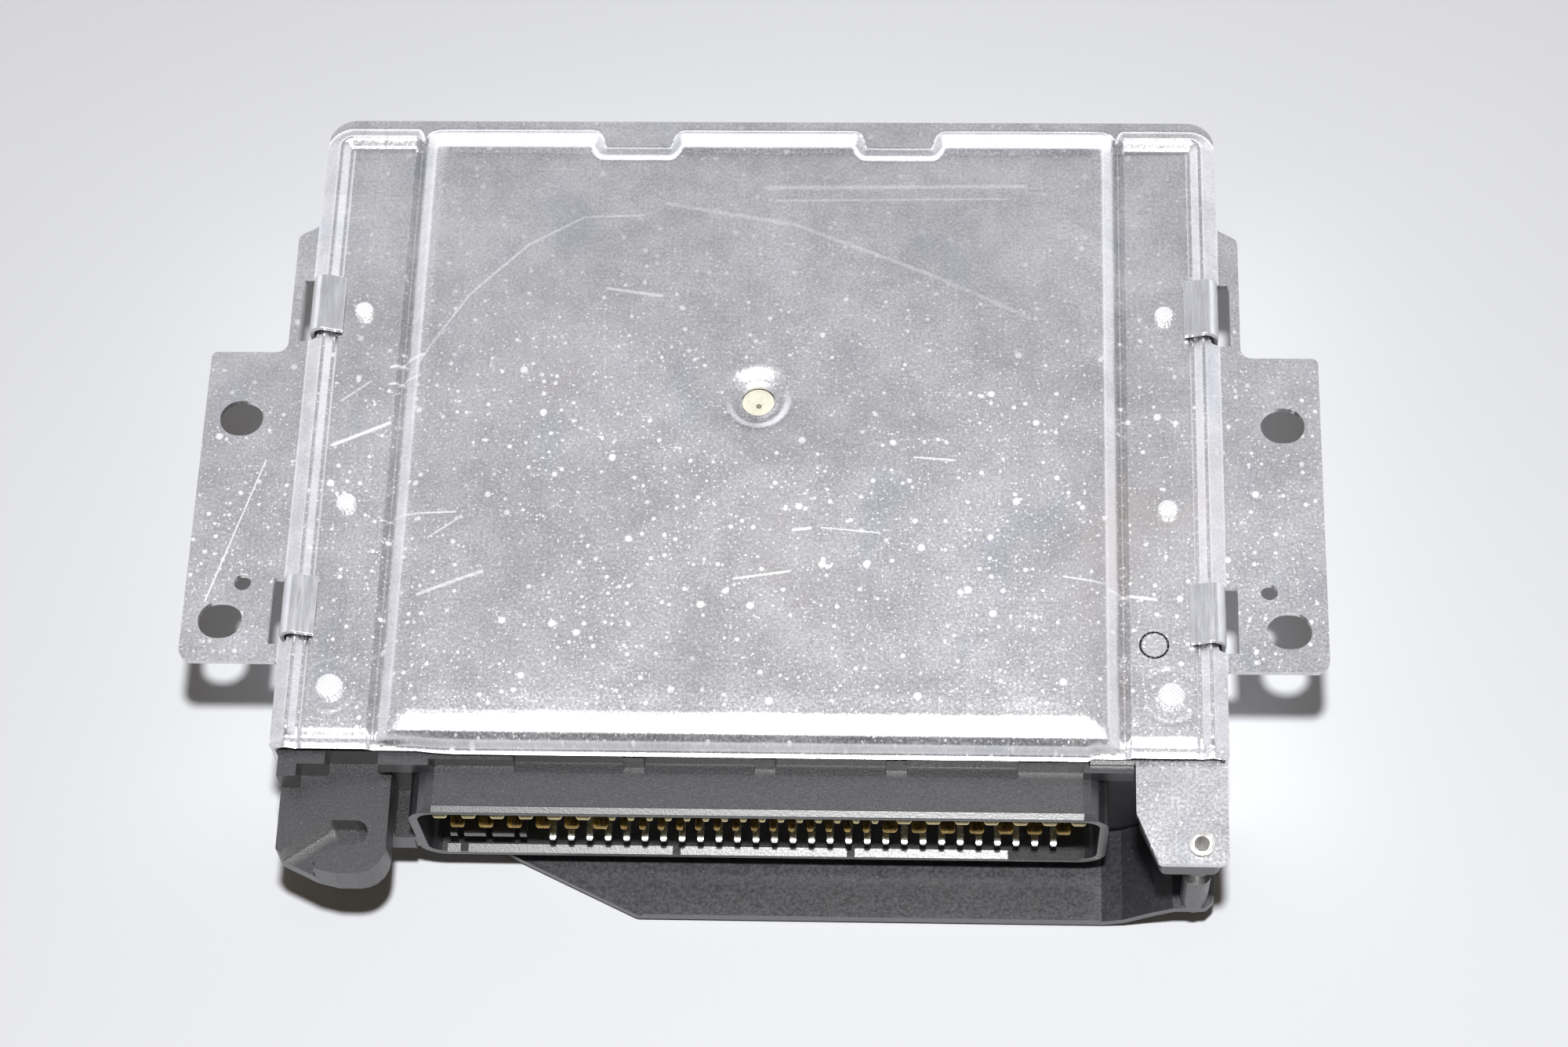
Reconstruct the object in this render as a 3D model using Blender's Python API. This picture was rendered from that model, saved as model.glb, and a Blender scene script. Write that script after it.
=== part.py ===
"""Engine control unit: a pressed aluminium case with a three-row plug header.

Lengths are millimetres in the code and metres in the meshes. X runs across the plug face,
Y from the plug face towards the back and Z up from the table. The code counts Y from the
line of the front fixing slots; `place` moves it so that the footprint is centred.
"""

import math

import bmesh
import bpy

MM = 0.001

# Fits shared by every piece
GAP = 0.3                    # air left between neighbours that touch in the real unit
BITE = 0.8                   # how deep one solid is sunk into another before they are joined
OVER = 2.0                   # how far a cutter stands out of what it cuts

# Case
CASE_WIDTH = 164.2           # cover, edge to edge, without ears
CASE_DEPTH = 127.3           # cover, front edge to back edge
FLANGE_HEIGHT = 36.0         # top of the cover's flat flange above the table
COVER_SHEET = 1.2            # thickness of the cover's sheet
SHELL_SHEET = 1.0            # thickness of the lower shell's sheet
FRONT_EDGE = -24.0           # cover's front edge, from the front fixing slots
CASE_CORNER = 5.0            # radius of the case's back corners in plan

# Relief pressed into the cover, above the flange
RIDGE_RISE = 2.3
RIDGE_WIDTH = 5.6            # foot to foot
RIDGE_FROM_EDGE = 2.3        # ridge's middle, from the cover's edge
CHANNEL_RISE = 1.3
CHANNEL_WIDTH = 12.5
PAN_RISE = 4.0
PAN_SIDE_SLOPE = 3.0
PAN_FRONT_SLOPE = 4.2
PAN_BACK_SLOPE = 4.0
FRONT_LIP = 0.7              # flat strip between the front edge and the slopes
BACK_LIP = 2.4
NOTCH_NEAR = 17.1            # the pan's back notches, nearest side to the middle line
NOTCH_WIDTH = 13.6
NOTCH_DEPTH = 8.8
NOTCH_SLOPE = 1.6
NOSE_REACH = 0.3             # middle of the front edge, in front of its ends
NOSE_ENDS = (27.8, 23.0)     # its ends, from the cover's left and right edges
DIMPLE_RADIUS = 5.8
DIMPLE_DROP = 1.6
DIMPLE_SHARE = 0.524         # dimple's middle, as a share of the case's depth
PORT_HOLE_RADIUS = 2.9

# Ears and their fixings
EAR_REACH = 17.6             # ear's outer edge, beyond the cover's edge
EAR_FRONT = -7.85
EAR_LENGTH = 61.5
EAR_CORNER = 2.4
FIXING_FROM_EDGE = 10.9      # fixing slots, beyond the cover's edge
FIXING_PITCH = 40.0          # front slot to back slot
FIXING_LENGTH = 7.8
FIXING_WIDTH = 7.0
PEG_HOLE_RADIUS = 1.5
PEG_HOLE_BACK = 7.3          # peg hole, behind the front slot
PEG_HOLE_IN = 3.3            # peg hole, nearer the case than the slot
SHOULDER_REACH = 3.85        # wider flange round the crimp slots
SHOULDER_BACK = 78.2

# Crimp tabs of the lower shell
TAB_LENGTH = 11.2
TAB_CENTRES = (1.8, 62.3)
TAB_SLOT_PLAY = 1.4          # slot longer than the tab, both ends together
TAB_SLOT_WIDTH = 3.6

# Plug header
ROW_PITCH = 5.0              # between the three rows of contacts
WIDE_PITCH = 5.0
NARROW_PITCH = 3.24
WIDE_BLADE = 2.6
NARROW_BLADE = 1.2
BLADE_THICK = 0.7
WIDE_LEFT = 6                # wide contacts at the left end of the two upper rows
WIDE_RIGHT = 7
MIDDLE_NARROW = 14
UPPER_NARROW = 15
LOWER_NARROW = 28
ROW_CENTRE = 1.75            # middle of the rows, right of the case's middle line
LOWER_ROW_SHIFT = 7.3        # middle of the lower row, right of the others
MIDDLE_ROW_HEIGHT = 20.1     # above the table
SOCKET_SIDE_MARGIN = 6.0     # from the last middle-row contact to the socket's side wall
SOCKET_ABOVE = 10.1          # socket's ceiling above the middle row
SOCKET_BELOW = 10.7
SOCKET_CORNER = 3.0
RIM_REACH = 9.7              # how far the upper rim stands in front of the case
LOWER_RIM_BACK = 1.6         # lower rim, behind the upper one
TIP_BEHIND_RIM = 2.1
SHROUD_SIDE_WALL = 1.5
SHROUD_TOP_WALL = 1.4
SHROUD_FLOOR_WALL = 1.6
BACK_WALL = 2.6
RIM_CHAMFER = (1.2, 0.85)    # along Y, along Z
FLOOR_CHAMFER = (1.4, 0.5)
FLOOR_LANDS = (6.0, 43.6, 74.3)    # uncut lands of the floor's chamfer, from the left wall
LAND_WIDTH = 1.4
STEEP_END = 15.5             # length at the right end where the floor's chamfer is steeper
TOP_POCKETS = 4              # shallow pockets behind the shroud's top
POCKET_START = 16.8          # first pocket, from the socket's left wall
POCKET_PITCH = 22.5
POCKET_LENGTH = 19.0
POCKET_DEPTH = 0.8
CODING_BARS = ((4.8, 0.6), (8.5, 1.9), (13.5, 1.9), (17.0, 0.6))    # from the wall, half length
CODING_BAR_TIP = 2.4         # bars' ends, behind the upper rim

# Guide bracket, left of the socket
GUIDE_WIDTH = 19.0
GUIDE_REACH = 20.2
GUIDE_TOP = 29.0
GUIDE_THICK = 7.3
GROOVE_DEPTH = 4.4
LEDGE_REACH = 2.3
LEDGE_TOP = 34.4
LEDGE_WIDTHS = (3.3, 8.1)    # the two steps of the ledge over the bracket's left end
LEDGE_START = 17.3           # the middle ledge, from the bracket's left side

# Hinge corner, right of the socket
HINGE_FROM_SIDE = 4.9        # hinge axis, in from the cover's edge
HINGE_REACH = 15.1           # hinge axis, in front of the case
HINGE_BOSS_RADIUS = 2.4
HINGE_FRONT_MARGIN = 3.6     # plate's front edge, in front of the axis
HINGE_PLATE_LEFT = 10.9      # plate's straight left edge, from the axis
HINGE_TONGUE = 18.6          # tongue under the cover, from the axis
HINGE_STRAIGHT = 9.6         # length of the plate's straight left edge
HINGE_SLANT = 3.7            # how far the slanted edge runs in
HINGE_PLATE_SHEET = 1.2
ARM_THICK = 5.0
ARM_INSET = 0.7              # arm's edge inside the plate's
HINGE_SLOT_TOP = 25.7
HINGE_SLOT_HEIGHT = 4.4
EYELET_HEAD_RADIUS = 2.3
EYELET_SHANK_RADIUS = 1.7
EYELET_BORE_RADIUS = 1.3

# Guard plate under the socket
GUARD_SHEET = 1.6
GUARD_LIFT = 1.0             # its underside above the table
GUARD_REACH = 17.2
GUARD_RAMP_RISE = 7.4
GUARD_SLANT = 35.0           # length across of the slanted left edge
GUARD_BEAD = (1.0, 0.6)      # raised bead along the front edge: width, height

# Inside
BOARD_SHEET = 1.6
BOARD_UNDER = 7.0            # board's underside above the table
BOARD_SIDE_PLAY = 1.2
RIVET_ROWS = (-13.3, 22.3, 61.3)
RIVET_HEADS = (2.35, 1.75, 1.75)
RIVET_SHANK_RADIUS = 1.3
RAIL_FLANGE_WIDTH = 11.0
RAIL_FLANGE_THICK = 3.2
RAIL_WEB = 5.0
SCREW_RADIUS = 1.25
TRANSISTOR_SPOTS = (2.0, 24.0, 46.0, 68.0)
TRANSISTOR_HALF = 5.0        # half its width along the rail
TRANSISTOR_DEEP = 4.4
TRANSISTOR_LEG = 4.0
TRANSISTOR_BODY = 9.0
TRANSISTOR_TAB = 4.0
CLIP_BULGE = 1.6             # how far the spring clip stands off the transistors
SENSOR_HALF = 8.0
PROCESSOR_SIDE = 24.2
CHOKE_RING = 5.6             # middle of the wound ring
CHOKE_WINDING = 2.4          # radius of its winding
MEMORY_SOCKET = (16.8, 19.3)
MEMORY_CHIP = (11.4, 14.0)
DRIVER_CHIP = (12.0, 16.0)
DRIVER_SPOTS = (-20.0, 4.0, 28.0)
DRIVER_BACK = 24.0           # driver chips, behind the board's front edge
CAPACITOR_SPOTS = (0.34, 0.49, 0.64, 0.79)    # shares of the board's depth
CAPACITOR_SIZES = ((6.0, 20.0), (6.0, 20.0), (5.0, 14.0), (5.0, 14.0))
BACK_ROW = 20.0              # middle of the choke and the memory, before the board's back edge
PART_CLEARANCE = 4.5         # between the sensor and the parts beside it
CLIP_CLEARANCE = 3.0         # between a spring clip and the parts beside it

# Worked out from the sizes above
BACK_EDGE = FRONT_EDGE + CASE_DEPTH
HALF_WIDTH = CASE_WIDTH / 2
UNDER_FLANGE = FLANGE_HEIGHT - COVER_SHEET
RIDGE_X = HALF_WIDTH - RIDGE_FROM_EDGE
PAN_HALF = RIDGE_X - RIDGE_WIDTH / 2 - CHANNEL_WIDTH
SHELL_HALF = HALF_WIDTH - 0.1
SHELL_TOP = UNDER_FLANGE - GAP
SHELL_BACK = BACK_EDGE - 0.7
SHELL_FRONT = FRONT_EDGE + 0.4
INSIDE_HALF = SHELL_HALF - SHELL_SHEET
FIXING_X = HALF_WIDTH + FIXING_FROM_EDGE
CHANNEL_X = PAN_HALF + CHANNEL_WIDTH / 2 + 1.6
DIMPLE_Y = FRONT_EDGE + DIMPLE_SHARE * CASE_DEPTH
UPPER_ROW_HEIGHT = MIDDLE_ROW_HEIGHT + ROW_PITCH
LOWER_ROW_HEIGHT = MIDDLE_ROW_HEIGHT - ROW_PITCH
MIDDLE_SPAN = (
    (WIDE_LEFT + WIDE_RIGHT - 2) * WIDE_PITCH
    + (MIDDLE_NARROW - 1) * NARROW_PITCH
    + (WIDE_PITCH + NARROW_PITCH)
)
SOCKET_HALF = MIDDLE_SPAN / 2 + SOCKET_SIDE_MARGIN
SOCKET_LEFT = ROW_CENTRE - SOCKET_HALF
SOCKET_RIGHT = ROW_CENTRE + SOCKET_HALF
SOCKET_TOP = MIDDLE_ROW_HEIGHT + SOCKET_ABOVE
SOCKET_FLOOR = MIDDLE_ROW_HEIGHT - SOCKET_BELOW
RIM_Y = FRONT_EDGE - RIM_REACH
LOWER_RIM_Y = RIM_Y + LOWER_RIM_BACK
HEADER_BACK = FRONT_EDGE + BACK_WALL
HEADER_HALF = INSIDE_HALF - GAP
GUIDE_LEFT = -HEADER_HALF
GUIDE_RIGHT = GUIDE_LEFT + GUIDE_WIDTH
HINGE_X = HALF_WIDTH - HINGE_FROM_SIDE
HINGE_Y = FRONT_EDGE - HINGE_REACH
PLATE_TOP = UNDER_FLANGE - GAP
PLATE_UNDER = PLATE_TOP - HINGE_PLATE_SHEET
ARM_TOP = PLATE_UNDER - GAP
BOARD_TOP = BOARD_UNDER + BOARD_SHEET
BOARD_FRONT = HEADER_BACK + 1.0
BOARD_BACK = SHELL_BACK - SHELL_SHEET - 3.0
RAIL_FACE = CHANNEL_X + RAIL_FLANGE_WIDTH / 2 - RAIL_WEB
CLIP_FACE = RAIL_FACE - GAP - TRANSISTOR_DEEP - GAP
CHANNEL_UNDER = FLANGE_HEIGHT + CHANNEL_RISE - COVER_SHEET
RAIL_FLANGE_TOP = CHANNEL_UNDER - GAP
EXTENT_FRONT = FRONT_EDGE - GUIDE_REACH
FOOTPRINT_MIDDLE = (EXTENT_FRONT + BACK_EDGE) / 2


def clear_scene():
    for obj in list(bpy.data.objects):
        bpy.data.objects.remove(obj, do_unlink=True)
    for mesh in list(bpy.data.meshes):
        bpy.data.meshes.remove(mesh)


def make_material(name, colour, metallic, roughness):
    material = bpy.data.materials.new(name)
    material.use_nodes = True
    shader = material.node_tree.nodes["Principled BSDF"]
    shader.inputs["Base Color"].default_value = (*colour, 1.0)
    shader.inputs["Metallic"].default_value = metallic
    shader.inputs["Roughness"].default_value = roughness
    return material


def place(x, y, z):
    return (x * MM, (y - FOOTPRINT_MIDDLE) * MM, z * MM)


def close_up(bm):
    bmesh.ops.recalc_face_normals(bm, faces=bm.faces)
    return bm


def extrude(points, axis, low, high):
    """A solid whose outline `points` lies across `axis`, from `low` to `high` along it."""
    order = {
        "X": lambda u, v, w: place(w, u, v),
        "Y": lambda u, v, w: place(u, w, v),
        "Z": lambda u, v, w: place(u, v, w),
    }[axis]
    bm = bmesh.new()
    first = [bm.verts.new(order(u, v, low)) for u, v in points]
    last = [bm.verts.new(order(u, v, high)) for u, v in points]
    bm.faces.new(first[::-1])
    bm.faces.new(last)
    for i in range(len(points)):
        j = (i + 1) % len(points)
        bm.faces.new((first[i], first[j], last[j], last[i]))
    return close_up(bm)


def box(x0, x1, y0, y1, z0, z1):
    return extrude([(x0, y0), (x1, y0), (x1, y1), (x0, y1)], "Z", z0, z1)


def rounded(points, radii, steps=4):
    """The outline `points` with each corner turned into an arc of its radius."""
    result = []
    count = len(points)
    for i, (x, y) in enumerate(points):
        radius = radii[i] if isinstance(radii, (list, tuple)) else radii
        if radius <= 0:
            result.append((x, y))
            continue
        px, py = points[i - 1]
        nx, ny = points[(i + 1) % count]
        ax, ay = px - x, py - y
        bx, by = nx - x, ny - y
        la, lb = math.hypot(ax, ay), math.hypot(bx, by)
        ax, ay, bx, by = ax / la, ay / la, bx / lb, by / lb
        angle = math.acos(max(-1.0, min(1.0, ax * bx + ay * by)))
        reach = radius / math.tan(angle / 2)
        start = (x + ax * reach, y + ay * reach)
        end = (x + bx * reach, y + by * reach)
        mx, my = ax + bx, ay + by
        ml = math.hypot(mx, my)
        far = radius / math.sin(angle / 2)
        cx, cy = x + mx / ml * far, y + my / ml * far
        a0 = math.atan2(start[1] - cy, start[0] - cx)
        a1 = math.atan2(end[1] - cy, end[0] - cx)
        turn = (a1 - a0 + math.pi) % (2 * math.pi) - math.pi
        for k in range(steps + 1):
            a = a0 + turn * k / steps
            result.append((cx + radius * math.cos(a), cy + radius * math.sin(a)))
    return result


def rectangle(u0, u1, v0, v1, radius=0.0, steps=4):
    corners = [(u0, v0), (u1, v0), (u1, v1), (u0, v1)]
    return rounded(corners, radius, steps) if radius else corners


def obround(cx, cy, length, width, steps=10):
    r = width / 2
    shift = (length - width) / 2
    points = []
    for sign, start in ((1, -math.pi / 2), (-1, math.pi / 2)):
        for k in range(steps + 1):
            a = start + math.pi * k / steps
            points.append((cx + sign * shift + r * math.cos(a), cy + r * math.sin(a)))
    return points


def disc(cx, cy, radius, sides=24, start=0.0):
    """A circle as a polygon; `start` turns it by that share of one side."""
    turns = [2 * math.pi * (k + start) / sides for k in range(sides)]
    return [(cx + radius * math.cos(a), cy + radius * math.sin(a)) for a in turns]


def lathe(cx, cy, profile, sides=24):
    """A solid turned about a vertical axis; `profile` is a closed loop of (radius, z)."""
    bm = bmesh.new()
    rings = []
    for radius, z in profile:
        if radius < 1e-6:
            rings.append([bm.verts.new(place(cx, cy, z))])
        else:
            rings.append([bm.verts.new(place(u, v, z)) for u, v in disc(cx, cy, radius, sides)])
    for a, b in zip(rings, rings[1:] + rings[:1]):
        if len(a) == 1 and len(b) == 1:
            continue
        for k in range(sides):
            j = (k + 1) % sides
            if len(a) == 1:
                bm.faces.new((a[0], b[j], b[k]))
            elif len(b) == 1:
                bm.faces.new((a[k], a[j], b[0]))
            else:
                bm.faces.new((a[k], a[j], b[j], b[k]))
    return close_up(bm)


def gather(solids):
    """Several separate solids as one mesh, for use as one tool."""
    bm = bmesh.new()
    for solid in solids:
        mesh = bpy.data.meshes.new("gathered")
        solid.to_mesh(mesh)
        solid.free()
        bm.from_mesh(mesh)
        bpy.data.meshes.remove(mesh)
    return bm


def link(name, bm):
    mesh = bpy.data.meshes.new(name)
    bm.to_mesh(mesh)
    bm.free()
    obj = bpy.data.objects.new(name, mesh)
    bpy.context.scene.collection.objects.link(obj)
    return obj


def work(obj, solid, operation):
    """Joins `solid` to `obj`, cuts it away, or keeps only what both share."""
    tool = link(f"tool_{operation.lower()}_{obj.name}_{len(obj.modifiers)}", solid)
    tool.hide_render = True
    tool.display_type = "WIRE"
    modifier = obj.modifiers.new(operation.title(), "BOOLEAN")
    modifier.solver = "EXACT"
    modifier.operation = operation
    modifier.object = tool


def bevel(obj, width, segments=1, angle=40.0):
    modifier = obj.modifiers.new("Edge rounding", "BEVEL")
    modifier.width = width * MM
    modifier.segments = segments
    modifier.limit_method = "ANGLE"
    modifier.angle_limit = math.radians(angle)


def finish(obj, material, smooth=False):
    obj.data.materials.append(material)
    if smooth:
        for polygon in obj.data.polygons:
            polygon.use_smooth = True
        obj.data.set_sharp_from_angle(angle=math.radians(40))
    return obj


def smooth_step(value):
    value = max(0.0, min(1.0, value))
    return value * value * (3 - 2 * value)


def corner_ramp(across, along):
    """1 where both distances are past their slope, 0 outside, rounded where they meet."""
    a = max(0.0, 1 - across)
    b = max(0.0, 1 - along)
    return max(0.0, 1 - math.hypot(a, b))


def ridge_profile(depth):
    """Height of the ridge over the flange at `depth` in from its outer foot."""
    half = RIDGE_WIDTH / 2
    if depth <= 0:
        return 0.0
    if depth < half:
        return RIDGE_RISE * math.sin(math.pi / 2 * depth / half)
    return CHANNEL_RISE + (RIDGE_RISE - CHANNEL_RISE) * (1 - smooth_step((depth - half) / half))


def cover_rise(x, y):
    """Height of the cover's upper face over its flange."""
    side = abs(x)
    front = smooth_step((y - FRONT_EDGE - FRONT_LIP) / 1.6)
    foot_x = RIDGE_X + RIDGE_WIDTH / 2
    foot_y = BACK_EDGE - BACK_LIP
    u = side - (foot_x - CASE_CORNER)
    v = y - (foot_y - CASE_CORNER)
    if u > 0 and v > 0:
        depth = CASE_CORNER - math.hypot(u, v)
    else:
        depth = min(foot_x - side, foot_y - y)
    beside = smooth_step((side - PAN_HALF + 1.0) / 2.0)
    behind = CHANNEL_RISE * smooth_step((foot_y - y) / PAN_BACK_SLOPE)
    base = front * (beside * ridge_profile(depth) + (1 - beside) * behind)
    along = min(
        (y - FRONT_EDGE - FRONT_LIP) / PAN_FRONT_SLOPE,
        (foot_y - y) / PAN_BACK_SLOPE,
    )
    pan = smooth_step(corner_ramp((PAN_HALF - side) / PAN_SIDE_SLOPE, along))
    rise = base + (PAN_RISE - base) * pan
    out_x = max(NOTCH_NEAR - side, side - NOTCH_NEAR - NOTCH_WIDTH)
    out_y = BACK_EDGE - NOTCH_DEPTH - y
    away = max(out_x, out_y) if min(out_x, out_y) < 0 else math.hypot(out_x, out_y)
    return rise * smooth_step(away / NOTCH_SLOPE)


def cover_stations():
    """Grid lines across and along the cover, close together where the sheet bends."""
    half = RIDGE_WIDTH / 2
    across = [0.0]
    across += [NOTCH_NEAR - NOTCH_SLOPE, NOTCH_NEAR - NOTCH_SLOPE / 2, NOTCH_NEAR]
    far = NOTCH_NEAR + NOTCH_WIDTH
    across += [far, far + NOTCH_SLOPE / 2, far + NOTCH_SLOPE]
    across += [PAN_HALF - PAN_SIDE_SLOPE * k / 3 for k in (3, 2, 1, 0)]
    across += [PAN_HALF + 1.0]
    across += [RIDGE_X + half * k / 2 for k in (-2, -1, 0, 1, 2)]
    across += [HALF_WIDTH + EAR_REACH + OVER]
    xs = [-value for value in across[:0:-1]] + across
    front = FRONT_EDGE + FRONT_LIP
    foot = BACK_EDGE - BACK_LIP
    steps = (0.0, 0.18, 0.36, 0.68, 1.0)
    ys = [FRONT_EDGE - OVER] + [front + PAN_FRONT_SLOPE * share for share in steps]
    notch = BACK_EDGE - NOTCH_DEPTH
    ys += [notch - NOTCH_SLOPE, notch - NOTCH_SLOPE / 2, notch]
    ys += [foot - half * k / 2 for k in (4, 3, 2, 1, 0)]
    ys += [BACK_EDGE + OVER]
    return xs, sorted(ys)


def cover_outline():
    """The cover's plan with its ears, anticlockwise from the nose of the front edge."""
    shoulder = HALF_WIDTH + SHOULDER_REACH
    ear = HALF_WIDTH + EAR_REACH
    ear_back = EAR_FRONT + EAR_LENGTH
    nose = FRONT_EDGE - NOSE_REACH
    right = [
        (HALF_WIDTH, FRONT_EDGE, 0.6),
        (HALF_WIDTH, EAR_FRONT, 0.8),
        (ear, EAR_FRONT, EAR_CORNER),
        (ear, ear_back, 1.2),
        (shoulder, ear_back, 2.0),
        (shoulder, SHOULDER_BACK, 1.6),
        (HALF_WIDTH, SHOULDER_BACK + 2.2, 1.8),
        (HALF_WIDTH, BACK_EDGE, CASE_CORNER),
    ]
    left = [(-x, y, r) for x, y, r in reversed(right)]
    nose_left, nose_right = NOSE_ENDS[0] - HALF_WIDTH, HALF_WIDTH - NOSE_ENDS[1]
    front = [
        (nose_left, FRONT_EDGE, 0.0),
        (nose_left, nose, 0.0),
        (nose_right, nose, 0.0),
        (nose_right, FRONT_EDGE, 0.0),
    ]
    outline = right + left + front
    return rounded([(x, y) for x, y, _ in outline], [r for _, _, r in outline])


def mounting_cover(material):
    xs, ys = cover_stations()
    bm = bmesh.new()
    upper = [[bm.verts.new(place(x, y, FLANGE_HEIGHT + cover_rise(x, y))) for y in ys] for x in xs]
    lower = [
        [bm.verts.new(place(x, y, UNDER_FLANGE + cover_rise(x, y))) for y in ys] for x in xs
    ]
    last_x, last_y = len(xs) - 1, len(ys) - 1
    for i in range(last_x):
        for j in range(last_y):
            for grid in (upper, lower):
                a, b = grid[i][j], grid[i + 1][j]
                c, d = grid[i + 1][j + 1], grid[i][j + 1]
                if (xs[i] + xs[i + 1]) * (j - last_y / 2) > 0:
                    bm.faces.new((a, b, d))
                    bm.faces.new((b, c, d))
                else:
                    bm.faces.new((a, b, c))
                    bm.faces.new((a, c, d))
    for i in range(last_x):
        bm.faces.new((upper[i][0], upper[i + 1][0], lower[i + 1][0], lower[i][0]))
        bm.faces.new((upper[i][-1], upper[i + 1][-1], lower[i + 1][-1], lower[i][-1]))
    for j in range(last_y):
        bm.faces.new((upper[0][j], upper[0][j + 1], lower[0][j + 1], lower[0][j]))
        bm.faces.new((upper[-1][j], upper[-1][j + 1], lower[-1][j + 1], lower[-1][j]))
    obj = link("mounting_cover", close_up(bm))

    low, high = UNDER_FLANGE - OVER, FLANGE_HEIGHT + PAN_RISE + OVER
    work(obj, extrude(cover_outline(), "Z", low, high), "INTERSECT")

    cuts = []
    slot_in = SHELL_HALF - SHELL_SHEET - GAP
    for sign in (-1, 1):
        for y in (0.0, FIXING_PITCH):
            cuts.append(obround(sign * FIXING_X, y, FIXING_LENGTH, FIXING_WIDTH))
        cuts.append(disc(sign * (FIXING_X - PEG_HOLE_IN), PEG_HOLE_BACK, PEG_HOLE_RADIUS, 16))
        for y in TAB_CENTRES:
            reach = (TAB_LENGTH + TAB_SLOT_PLAY) / 2
            ends = sorted((sign * slot_in, sign * (slot_in + TAB_SLOT_WIDTH)))
            cuts.append(rectangle(*ends, y - reach, y + reach))
        for y in RIVET_ROWS:
            cuts.append(disc(sign * CHANNEL_X, y, RIVET_SHANK_RADIUS + GAP, 16))
    cuts.append(disc(0.0, DIMPLE_Y, DIMPLE_RADIUS, 32, 0.37))
    work(obj, gather([extrude(cut, "Z", low, high) for cut in cuts]), "DIFFERENCE")

    top = FLANGE_HEIGHT + PAN_RISE
    rim = DIMPLE_RADIUS + BITE / 4
    ring = [
        (PORT_HOLE_RADIUS, top - DIMPLE_DROP),
        (PORT_HOLE_RADIUS + 0.7, top - DIMPLE_DROP),
        (rim - 0.9, top - 0.3),
        (rim, top - 0.2),
        (rim, top - COVER_SHEET + 0.2),
        (rim - 0.9, top - COVER_SHEET - 0.3),
        (PORT_HOLE_RADIUS + 0.7, top - DIMPLE_DROP - COVER_SHEET),
        (PORT_HOLE_RADIUS, top - DIMPLE_DROP - COVER_SHEET),
    ]
    work(obj, lathe(0.0, DIMPLE_Y, ring, 32), "UNION")
    return finish(obj, material)


def crimp_tab(sign, centre):
    """One tab of the shell's side wall, folded in over the cover's ridge."""
    x = SHELL_HALF
    top = FLANGE_HEIGHT
    outer = [
        (x, SHELL_TOP - 6.0),
        (x, top + 2.3),
        (x - 0.35, top + 3.3),
        (x - 1.2, top + 3.95),
        (x - 2.6, top + 4.0),
        (x - 4.0, top + 3.5),
        (x - 6.2, top + 2.6),
    ]
    inner = [
        (x - 6.45, top + CHANNEL_RISE + GAP + 0.1),
        (x - 4.3, top + 2.55),
        (x - 2.7, top + 2.98),
        (x - 1.6, top + 2.9),
        (x - SHELL_SHEET, top + 2.3),
        (x - SHELL_SHEET, SHELL_TOP - 6.0),
    ]
    outline = [(sign * u, v) for u, v in outer + inner]
    return extrude(outline, "Y", centre - TAB_LENGTH / 2, centre + TAB_LENGTH / 2)


def case_shell(material):
    outline = rounded(
        [
            (-SHELL_HALF, SHELL_FRONT),
            (SHELL_HALF, SHELL_FRONT),
            (SHELL_HALF, SHELL_BACK),
            (-SHELL_HALF, SHELL_BACK),
        ],
        [0, 0, CASE_CORNER, CASE_CORNER],
        5,
    )
    tip = 1.2
    bm = bmesh.new()
    shrink = [(0.0, SHELL_TOP), (0.0, tip), (tip * 0.3, tip * 0.3), (tip, 0.0)]
    middle = (SHELL_FRONT + SHELL_BACK) / 2
    deep = (SHELL_BACK - SHELL_FRONT) / 2
    rings = []
    for inset, z in shrink:
        sx = (SHELL_HALF - inset) / SHELL_HALF
        sy = (deep - inset) / deep
        rings.append([bm.verts.new(place(x * sx, middle + (y - middle) * sy, z)) for x, y in outline])
    for a, b in zip(rings, rings[1:]):
        for k in range(len(outline)):
            j = (k + 1) % len(outline)
            bm.faces.new((a[k], a[j], b[j], b[k]))
    bm.faces.new(rings[0])
    bm.faces.new(rings[-1][::-1])
    obj = link("case_shell", close_up(bm))
    back = SHELL_BACK - SHELL_SHEET
    hollow = rounded(
        [
            (-INSIDE_HALF, SHELL_FRONT - OVER),
            (INSIDE_HALF, SHELL_FRONT - OVER),
            (INSIDE_HALF, back),
            (-INSIDE_HALF, back),
        ],
        [0, 0, CASE_CORNER - SHELL_SHEET, CASE_CORNER - SHELL_SHEET],
        5,
    )
    work(obj, extrude(hollow, "Z", SHELL_SHEET, SHELL_TOP + OVER), "DIFFERENCE")
    for sign in (-1, 1):
        for centre in TAB_CENTRES:
            work(obj, crimp_tab(sign, centre), "UNION")
    return finish(obj, material)


def cover_gasket(material):
    outer = INSIDE_HALF - GAP
    width = 1.7
    back = SHELL_BACK - SHELL_SHEET - GAP
    front = HEADER_BACK + GAP
    outline = [
        (-outer, front),
        (-outer + width, front),
        (-outer + width, back - width),
        (outer - width, back - width),
        (outer - width, front),
        (outer, front),
        (outer, back),
        (-outer, back),
    ]
    turn = CASE_CORNER - SHELL_SHEET
    radii = [0, 0, turn - width, turn - width, 0, 0, turn, turn]
    top = UNDER_FLANGE - GAP
    return finish(link("cover_gasket", extrude(rounded(outline, radii), "Z", top - 1.7, top)), material)


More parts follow.
